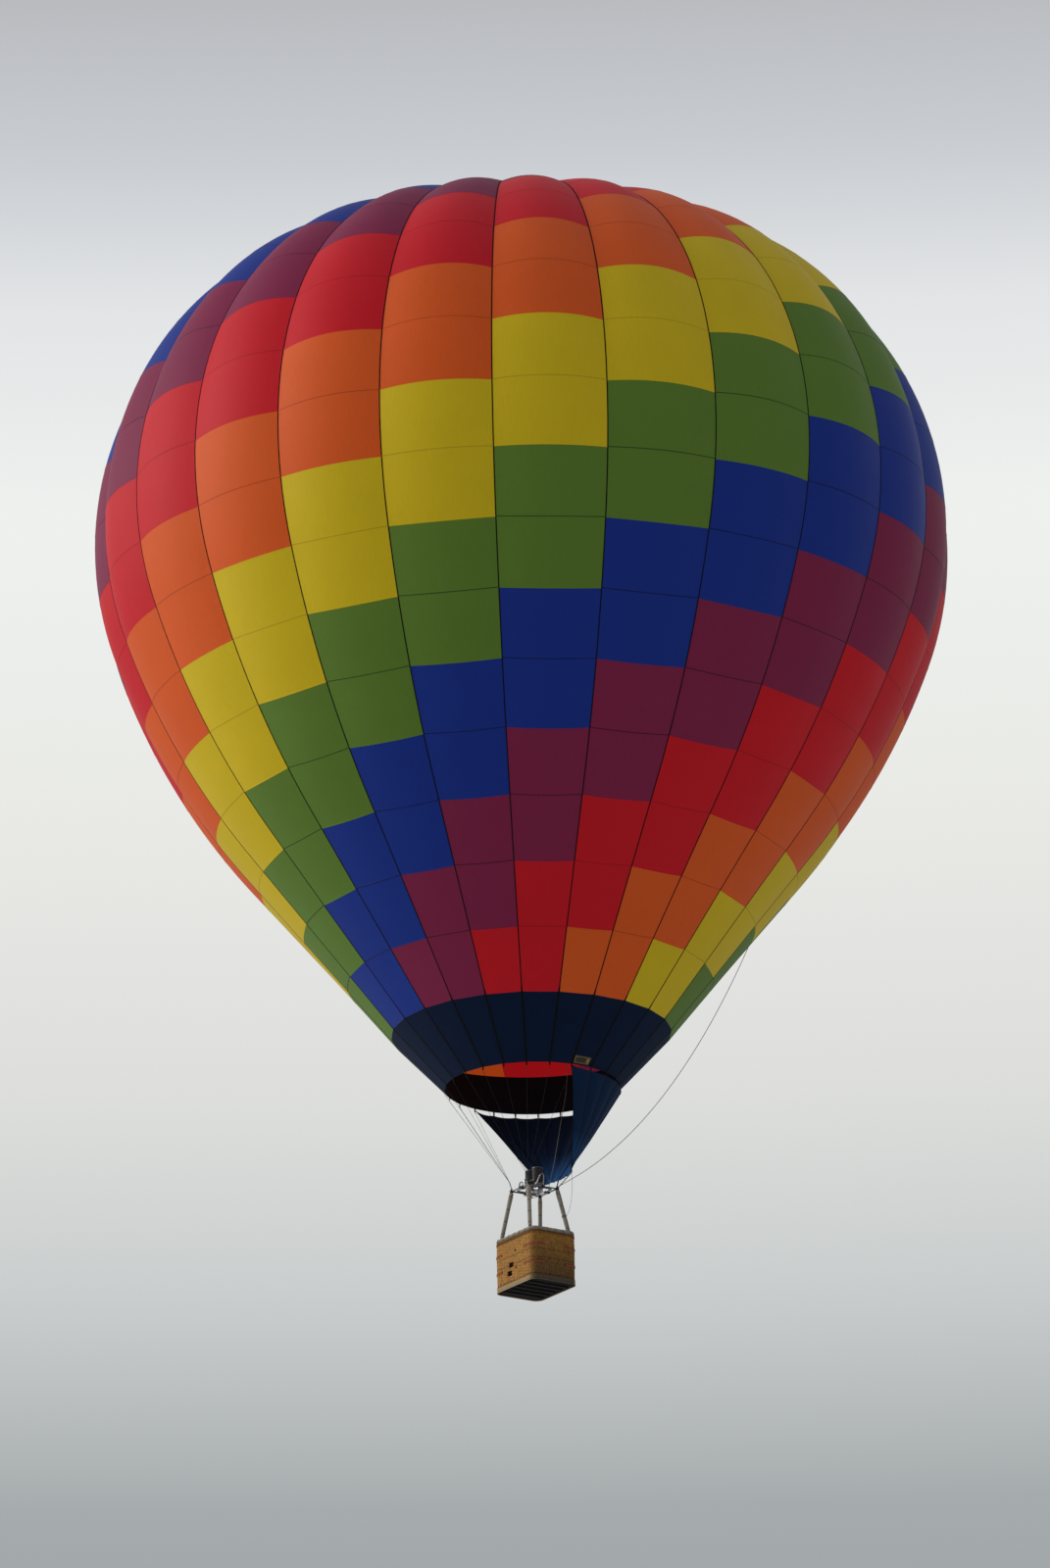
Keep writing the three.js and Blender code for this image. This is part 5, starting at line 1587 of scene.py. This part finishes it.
def rim_section(distance, shrink):
    """The roll's section at a distance round the basket, pulled in where it is laced."""
    near_lace = abs((distance / LACE_PITCH + 0.5) % 1 - 0.5) * LACE_PITCH
    pull = 1 - 0.05 * math.exp(-(near_lace / 0.012) ** 2)
    return [rim_point(distance, c, s, shrink, pull) for c, s in circle(1, 20)]


rim_rows = [rim_section(PERIMETER * k / 384, 0.004) for k in range(384)]
rim = piece("rim_roll", loft(rim_rows, ring=True), SUEDE, stands_for=["rim_pad"])
LACES = [outline_at(LACE_PITCH * k)[0] for k in range(LACE_COUNT)]


def at_lace(place):
    level = Vector((place.x, place.y, 0))
    near = min((level - lace).length_squared for lace in LACES)
    return place.z < RIM_TOP - RIM_HEIGHT + 0.010 or near < 0.0001


fill(rim, 0.011, 3.5, 0.007, at_lace)
soften(rim)

rim_lacing, cuffs, cuff_cords = [], [], []
for k in range(LACE_COUNT):
    for shift in (-0.014, 0.014):
        loop = [rim_point(LACE_PITCH * k + shift * s, c, s, 0.002) for c, s in circle(1, 16)]
        rim_lacing.append(swept(loop, circle(0.0024, 6), ring=True))
seam_line = wall_line(RIM_OVERHANG - 0.0015, RIM_CENTRE_Z - 0.012)
rim_lacing.append(swept(seam_line, circle(0.003, 6), ring=True))
for _, side_x, side_y in CORNERS:
    centre = (side_x * SOCKET_X, side_y * SOCKET_Y, RIM_TOP)
    cuffs.append(turned([(0.026, 0.021), (0.034, 0.024), (0.041, 0.019), (0.044, 0.006), (0.048, -0.012),
                         (0.048, -0.030), (0.047, -0.140), (0.040, -0.150), (0.020, -0.150), (0.020, 0.012),
                         (0.026, 0.021)], 32, centre))
    cord_ring = [(centre[0] + 0.043 * c, centre[1] + 0.043 * s, RIM_TOP + 0.010) for c, s in circle(1, 32)]
    cuff_cords.append(swept(cord_ring, circle(0.0035, 8), ring=True))
piece("rim_lacing", merged(rim_lacing + cuff_cords), RAWHIDE)
piece("rim_cuffs", merged(cuffs), SUEDE)
print("rim with", LACE_COUNT, "lacings")

# %% [markdown]
# ## Wicker
# The wall is real basketwork: upright stakes every 6 cm, and 68 rows of willow that pass in front of one
# stake and behind the next. The next row does the opposite. Rows stop at the step holes, at the slots for
# the cylinder straps and at small holes between them. Thicker, stained waling locks the weave at its foot,
# at its top and at three heights between, and cut stake ends show under the rim.

# %% Weaving
STAKES = 82
STAKE_PITCH = PERIMETER / STAKES
WEAVE_ROWS = 68
ROW_PITCH = (WALL_TOP - WALL_BOTTOM) / WEAVE_ROWS
WEAVE_POINTS = 3
# Half a rod's thickness and height, and how far it swings to each side of the stakes.
WEAVE_ROD = (0.0060, 0.0104, 0.0052)
WALE_ROD = (0.0076, 0.0108, 0.0056)
WALE_ROWS = (0, 1, 8, 30, 42, 66, 67)
STRAP_LEVELS = (-15.751, -16.116)
STRAP_SLOT_X, STRAP_SLOT_Y = 0.4277, 0.2477
HOLES = []
for x, z in ((-0.085, -16.035), (-0.150, -16.205)):
    HOLES.append((distance_of(x, -BASKET_HALF_Y), 0.085, z, 0.055))
for level in STRAP_LEVELS:
    for _, side_x, side_y in CORNERS:
        HOLES.append((distance_of(side_x * STRAP_SLOT_X, side_y * BASKET_HALF_Y), 0.018, level, 0.026))
        HOLES.append((distance_of(side_x * BASKET_HALF_X, side_y * STRAP_SLOT_Y), 0.018, level, 0.026))
    for x, y in ((BASKET_HALF_X, 0.02), (-BASKET_HALF_X, 0.02),
                 (0.09, BASKET_HALF_Y), (0.09, -BASKET_HALF_Y)):
        HOLES.append((distance_of(x, y), 0.024, level, 0.032))


def open_runs(z):
    """Stretches of the outline between the holes at a height, as (from, to), or None for the whole ring."""
    cuts = sorted((s - half, s + half) for s, half, middle, tall in HOLES if abs(z - middle) < tall)
    if not cuts:
        return None
    return [(end, after + (PERIMETER if i == len(cuts) - 1 else 0))
            for i, ((_, end), (after, _)) in enumerate(zip(cuts, cuts[1:] + cuts[:1]))]


def rod_section(distance, z, row, size):
    half_out, half_up, swing = size
    weave = math.cos(math.pi * (distance / STAKE_PITCH + row))
    out = belly(z) - WALL_THICK / 2 + swing * weave
    return [on_wall(distance, out + half_out * c, z + half_up * s) for c, s in circle(1, 5)]


def weave_row(row, size):
    z = WALL_BOTTOM + (row + 0.5) * ROW_PITCH
    runs = open_runs(z)
    step = STAKE_PITCH / WEAVE_POINTS
    if runs is None:
        return [loft([rod_section(k * step, z, row, size) for k in range(STAKES * WEAVE_POINTS)], ring=True)]
    parts = []
    for start, end in runs:
        count = max(2, round((end - start) / step))
        parts.append(loft([rod_section(start + (end - start) * k / count, z, row, size)
                           for k in range(count + 1)]))
    return parts


weave, wales = [], []
for row in range(WEAVE_ROWS):
    if row in WALE_ROWS:
        wales.extend(weave_row(row, WALE_ROD))
    else:
        weave.extend(weave_row(row, WEAVE_ROD))
piece("wicker_weave", merged(weave), WILLOW, stands_for=["wicker_wall"], crease=180)
piece("wicker_wales", merged(wales), WALE_CANE, crease=180)

stakes = []
for k in range(STAKES):
    distance = k * STAKE_PITCH
    cuts = sorted((middle - tall, middle + tall) for s, half, middle, tall in HOLES
                  if abs((s - distance + PERIMETER / 2) % PERIMETER - PERIMETER / 2) < half)
    low = WALL_BOTTOM + 0.004
    for cut_low, cut_high in cuts + [(WALL_TOP, WALL_TOP)]:
        steps = max(2, round((cut_low - low) / 0.12))
        line = [on_wall(distance, belly(z) - WALL_THICK / 2, z)
                for z in (low + (cut_low - low) * j / steps for j in range(steps + 1))]
        stakes.append(swept(line, circle(0.0055, 6)))
        low = cut_high
    for shift in (0.0, 0.5):
        end = distance + shift * STAKE_PITCH
        stakes.append(swept([on_wall(end, 0.001, WALL_TOP - 0.070), on_wall(end, 0.004, WALL_TOP - 0.035),
                             on_wall(end, 0.000, WALL_TOP - 0.001)], circle(0.0055, 6)))
piece("wicker_stakes", merged(stakes), STAKE_CANE, crease=180)
print("wicker", TRIANGLES["wicker_weave"] + TRIANGLES["wicker_wales"], "triangles")

# %% [markdown]
# ## Hem, floor and runners
# A strip of rawhide is laced over the wall's foot, where the basket meets the ground. Its lower edge is
# rolled to a paler bead, under a black cord that paints the shade of a sewn groove. The floor is plywood
# on five runners, and the heads of its bolts stand on it inside the basket.

# %% Rawhide hem
HEM_OUT, HEM_THICK = 0.0003, 0.005
HEM_FACE = HEM_OUT + HEM_THICK
HEM_LOW, HEM_HIGH = -16.516, -16.410
hem_rows = []
for k in range(240):
    distance = PERIMETER * k / 240
    wave = 0.002 * noise.noise(Vector((distance * 9.0, 0, 5.0)))
    hem_rows.append([on_wall(distance, out, z) for out, z in (
        (HEM_OUT, HEM_LOW + 0.001), (HEM_FACE - 0.001, HEM_LOW), (HEM_FACE + 0.0005, HEM_LOW + 0.004),
        (HEM_FACE + 0.0005 + wave / 2, -16.480), (HEM_FACE, HEM_HIGH - 0.004 + wave),
        (HEM_FACE - 0.002, HEM_HIGH + wave), (HEM_OUT, HEM_HIGH - 0.001 + wave))])
piece("hem_strip", loft(hem_rows, ring=True), RAWHIDE, stands_for=["rawhide_hem"],
      crease=50)
bead_line = wall_line(HEM_FACE + 0.001, HEM_LOW + 0.006)
piece("hem_bead", swept(bead_line, circle(0.006, 8), ring=True), HEM_BEAD)
# The groove is a black cord, not a recess: its darkness is painted shade.
painted_groove_line = wall_line(HEM_FACE - 0.001, HEM_LOW + 0.019)
piece("hem_groove", swept(painted_groove_line, circle(0.004, 6), ring=True), LOAD_TAPE)
stitches = []
for k in range(STAKES):
    at = (k + 0.5) * STAKE_PITCH
    line = smooth_line([on_wall(at - 0.010, HEM_FACE, HEM_HIGH - 0.016),
                        on_wall(at - 0.003, HEM_FACE + 0.004, HEM_HIGH - 0.004),
                        on_wall(at + 0.006, HEM_FACE + 0.002, HEM_HIGH + 0.008),
                        on_wall(at + 0.010, -0.004, HEM_HIGH + 0.014)], 3)
    stitches.append(swept(line, circle(0.0022, 6)))
piece("hem_lacing", merged(stitches), RAWHIDE_LACE)
print("hem with", STAKES, "stitches")

# %% Floor and runners
FLOOR_BOTTOM, FLOOR_TOP = -16.500, -16.482
RUNNER_LENGTH, RUNNER_WIDTH, RUNNER_HEIGHT = 0.970, 0.060, 0.028
RUNNER_PITCH = 0.230
FLOOR_INSET = WALL_THICK + 0.0003
floor_line = [outline_at(PERIMETER * k / 160) for k in range(160)]
floor_rows = [[place - out * FLOOR_INSET + Vector((0, 0, z)) for place, out in floor_line]
              for z in (FLOOR_BOTTOM, FLOOR_TOP)]
runner_parts, floor_bolts = [], []
for k in range(5):
    x = (k - 2) * RUNNER_PITCH
    ends = RUNNER_LENGTH / 2
    profile = [(-ends + 0.020, FLOOR_BOTTOM - RUNNER_HEIGHT), (ends - 0.020, FLOOR_BOTTOM - RUNNER_HEIGHT),
               (ends, FLOOR_BOTTOM - 0.008), (ends, FLOOR_BOTTOM), (-ends, FLOOR_BOTTOM),
               (-ends, FLOOR_BOTTOM - 0.008)]
    runner_parts.append(loft([[(x - RUNNER_WIDTH / 2, y, z) for y, z in profile],
                              [(x + RUNNER_WIDTH / 2, y, z) for y, z in profile]]))
    for j in range(5):
        floor_bolts.append(turned([(0.001, 0.0), (0.014, 0.0), (0.012, 0.003), (0.001, 0.005)], 16,
                                  (x, (j - 2) * 0.21, FLOOR_TOP)))
piece("floor_plywood", loft(floor_rows), PLYWOOD, stands_for=["floor_board"],
      bevel=0.002)
piece("floor_runners", merged(runner_parts), RUNNER_WOOD, bevel=0.003)
piece("floor_bolts", merged(floor_bolts), STAINLESS)
print("floor on five runners")

# %% [markdown]
# ## Fuel cylinders
# A cylinder stands in each corner in a padded, quilted jacket. Its steel collar guards the valves, and two
# webbing straps hold it to the wall.

# %% Cylinders
CYLINDER_RADIUS = 0.140
CYLINDER_BOTTOM = FLOOR_TOP + 0.0003
CYLINDER_TOP = CYLINDER_BOTTOM + 0.880
COLLAR_RADIUS, COLLAR_HEIGHT, SHOULDER = 0.092, 0.062, 0.044
TANK_X, TANK_Y = BASKET_HALF_X - BASKET_CORNER, BASKET_HALF_Y - BASKET_CORNER
JACKET_TOP = CYLINDER_TOP - COLLAR_HEIGHT - SHOULDER
JACKET_RADIUS = 0.136
QUILT_LINES = 12
jacket_rows = []
for r, z in ((0.060, CYLINDER_BOTTOM + 0.001), (0.120, CYLINDER_BOTTOM + 0.001),
             (0.132, CYLINDER_BOTTOM + 0.004), (JACKET_RADIUS, CYLINDER_BOTTOM + 0.012),
             *[(JACKET_RADIUS, CYLINDER_BOTTOM + 0.012 + (JACKET_TOP - CYLINDER_BOTTOM - 0.024) * k / 24)
               for k in range(1, 25)],
             (0.130, JACKET_TOP - 0.004), (0.120, JACKET_TOP + 0.006), (0.060, JACKET_TOP + 0.020)):
    jacket_rows.append([(TANK_X + r * c, TANK_Y + r * s, z) for c, s in circle(1, 72)])
jacket = piece("jacket_1", loft(jacket_rows), JACKET)


def at_quilt(place):
    turn = math.atan2(place.y - TANK_Y, place.x - TANK_X) / (2 * math.pi)
    off = abs((turn * QUILT_LINES + 0.5) % 1 - 0.5) * 2 * math.pi / QUILT_LINES * JACKET_RADIUS
    strap = min(abs(place.z - level) for level in STRAP_LEVELS)
    return off < 0.005 or strap < 0.022 or place.z < CYLINDER_BOTTOM + 0.01 or place.z > JACKET_TOP - 0.01


fill(jacket, 0.011, 3.0, 0.004, at_quilt)
shell_top = JACKET_TOP + 0.020
dome = turned([(0.001, JACKET_TOP - 0.02), (0.100, JACKET_TOP - 0.02), (0.098, JACKET_TOP + 0.016),
               (0.092, JACKET_TOP + 0.026), (0.070, shell_top + 0.016), (0.001, shell_top + 0.022)],
              40, (TANK_X, TANK_Y, 0))
collar_foot, collar_inner = CYLINDER_TOP - COLLAR_HEIGHT, COLLAR_RADIUS - 0.004
collar = turned([(collar_inner, collar_foot), (COLLAR_RADIUS, collar_foot),
                 (COLLAR_RADIUS, CYLINDER_TOP - 0.006), (COLLAR_RADIUS + 0.001, CYLINDER_TOP),
                 (COLLAR_RADIUS - 0.008, CYLINDER_TOP), (collar_inner, CYLINDER_TOP - 0.006),
                 (collar_inner, collar_foot)], 48, (TANK_X, TANK_Y, 0))
tank_valves = []
for x, y, tall in ((0.035, 0.0, 0.030), (-0.030, 0.030, 0.022), (-0.020, -0.040, 0.018)):
    foot = (TANK_X + x, TANK_Y + y, shell_top + 0.010)
    tank_valves.append(turned([(0.001, 0.0), (0.013, 0.0), (0.013, 0.010), (0.008, 0.012),
                               (0.008, tall - 0.010), (0.017, tall - 0.008), (0.018, tall),
                               (0.001, tall + 0.002)], 20, foot))
tank = piece("tank_1", merged([dome, collar]), STAINLESS, stands_for=["fuel_cylinder_1"])
tank_fittings = piece("tank_valves_1", merged(tank_valves), NICKEL)
for corner in CORNERS[1:]:
    mirror_piece(jacket, corner)
    mirror_piece(tank, corner, node="fuel_cylinder")
    mirror_piece(tank_fittings, corner)
print("four cylinders")

# %% Straps
STRAP_WIDTH, STRAP_THICK = 0.040, 0.004


def strap_line(lift):
    """The strap's loop at the first corner: round the wall outside and round the cylinder inside."""
    wall = BASKET_CORNER + 0.0003 + lift + STRAP_THICK / 2
    tank_round = CYLINDER_RADIUS + 0.0003 + STRAP_THICK / 2
    line = [(TANK_X - tank_round, TANK_Y + wall)]
    for k in range(17):
        angle = math.pi / 2 * (1 - k / 16)
        line.append((TANK_X + wall * math.cos(angle), TANK_Y + wall * math.sin(angle)))
    line.append((TANK_X + wall, TANK_Y - tank_round))
    for k in range(17):
        angle = -math.pi / 2 - math.pi / 2 * k / 16
        line.append((TANK_X + tank_round * math.cos(angle), TANK_Y + tank_round * math.sin(angle)))
    return line


def strap_loop(level, lift, side_x, side_y, half=STRAP_WIDTH / 2 - 0.001):
    line = strap_line(lift)
    count = len(line)
    sections = []
    for i, (x, y) in enumerate(line):
        before, after = line[i - 1], line[(i + 1) % count]
        ahead = Vector((after[0] - before[0], after[1] - before[1], 0)).normalized()
        out = Vector((ahead.y, -ahead.x, 0)) * (STRAP_THICK / 2)
        place = Vector((x, y, level))
        sections.append([place + out * a + Vector((0, 0, half * b)) for a, b in
                         ((1, -1), (1, 1), (-1, 1), (-1, -1))])
    vertices, faces = loft(sections, ring=True)
    flip = side_x * side_y < 0
    return ([(x * side_x, y * side_y, z) for x, y, z in vertices],
            [tuple(reversed(face)) for face in faces] if flip else faces)


for number, side_x, side_y in CORNERS:
    for level, name in zip(STRAP_LEVELS, ("upper", "lower")):
        loop = strap_loop(level, belly(level) + 0.001, side_x, side_y)
        piece(f"strap_{name}_{number}", loop, WEBBING, stands_for=[f"strap_{number}_{name}"],
              bevel=0.0006, crease=30)
        edge = strap_loop(level - 0.011, belly(level) + 0.0017, side_x, side_y, 0.007)
        piece(f"strap_edge_{name}_{number}", edge, WEBBING_EDGE)
print("eight straps")

# %% [markdown]
# ## Light, sky and floor
# The photo has a bright, overcast sky with a soft sun from the left. One large soft sun gives the faces
# their modelling, and the sky fills the shadows. Behind the balloon the sky is a bank of cloud, graded by
# height. The pale floor lies far below and throws light back up.

# %% Light and floor
SUN_STRENGTH = 2.15
SUN_SPREAD = math.radians(50)
FLOOR_TONE = "#d2d3d1"
FLOOR_REACH = 1500
OVERHEAD = "#9aa3b8"
AWAY = Vector((-math.sin(CAMERA_TURN), math.cos(CAMERA_TURN), 0))
LEFT = Vector((-math.cos(CAMERA_TURN), -math.sin(CAMERA_TURN), 0))
CLOUD = [(0.20, "#8f9396"), (0.25, "#a6abad"), (0.275, "#c8cccc"), (0.30, "#dddedc"), (0.335, "#e9eae6"),
         (0.37, "#eff1ef"), (0.395, "#e2e4e6"), (0.412, "#c9ccd1"), (0.43, "#b9bbbf"), (0.47, "#b0b2b6")]
NEAR_SKY = [(0.0, "#a9a9a9"), (0.5, "#bababc"), (1.0, "#d2d5d9")]

floor_plain = bpy.data.meshes.new("floor_plain")
floor_ring = [(x, y, FLOOR_Z) for x, y in circle(FLOOR_REACH, 96)]
floor_plain.from_pydata(floor_ring, [], [tuple(range(96))])
floor_finish, floor_tree = empty_material("plain_floor")
floor_shade = add(floor_tree, "ShaderNodeBsdfDiffuse", {"Color": linear(FLOOR_TONE)})
add(floor_tree, "ShaderNodeOutputMaterial", {"Surface": floor_shade})
floor_plain.materials.append(floor_finish)
floor_object = new_object("floor", floor_plain)

sun = new_object("sun", bpy.data.lights.new("sun", "SUN"))
sun.data.energy = SUN_STRENGTH
sun.data.angle = SUN_SPREAD
sun.data.color = (1.0, 0.98, 0.95)
to_light = LEFT * 0.93 + AWAY * 0.10 + Vector((0, 0, 0.35))
sun.rotation_mode = "QUATERNION"
sun.rotation_quaternion = to_light.to_track_quat("Z", "Y")


def ramp(tree, value, stops):
    """A colour ramp through (place, hex) stops."""
    made = add(tree, "ShaderNodeValToRGB", {"Fac": value})
    elements = made.color_ramp.elements
    for element, (place, hex_code) in ((elements[0], stops[0]), (elements[1], stops[-1])):
        element.position = place
        element.color = linear(hex_code)
    for place, hex_code in stops[1:-1]:
        elements.new(place).color = linear(hex_code)
    return made


sky = bpy.data.worlds.new("overcast_sky")
sky.use_nodes = True
air = sky.node_tree
air.nodes.clear()
looking = add(air, "ShaderNodeTexCoord").outputs["Generated"]
height = add(air, "ShaderNodeSeparateXYZ", {"Vector": looking}).outputs["Z"]
ahead = add(air, "ShaderNodeVectorMath", {0: looking, 1: AWAY}, operation="DOT_PRODUCT")
behind = add(air, "ShaderNodeMapRange", {
    "Value": ahead.outputs["Value"], "From Min": 0.1, "From Max": 0.7}, interpolation_type="SMOOTHSTEP")
leftness = add(air, "ShaderNodeVectorMath", {0: looking, 1: LEFT}, operation="DOT_PRODUCT")
half_left = add(air, "ShaderNodeMapRange", {"Value": leftness.outputs["Value"], "From Min": -1.0})
near_sky = ramp(air, half_left, NEAR_SKY)
overhead = add(air, "ShaderNodeMapRange", {"Value": height, "From Min": 0.2, "From Max": 0.95},
               interpolation_type="SMOOTHSTEP")
near_sky = add(air, "ShaderNodeMixRGB", {"Fac": overhead, "Color1": near_sky, "Color2": linear(OVERHEAD)})
cloud = ramp(air, height, CLOUD)
colour = add(air, "ShaderNodeMixRGB", {"Fac": behind, "Color1": near_sky, "Color2": cloud})
glow = add(air, "ShaderNodeBackground", {"Color": colour, "Strength": 1.0})
add(air, "ShaderNodeOutputWorld", {"Surface": glow})
bpy.context.scene.world = sky
bpy.context.scene.view_settings.view_transform = "Standard"
print("sun, sky and floor made")

# %% [markdown]
# Soft pieces stand a little proud of the CAD solids.

# %% Finish
print("added triangles", sum(TRIANGLES.values()))
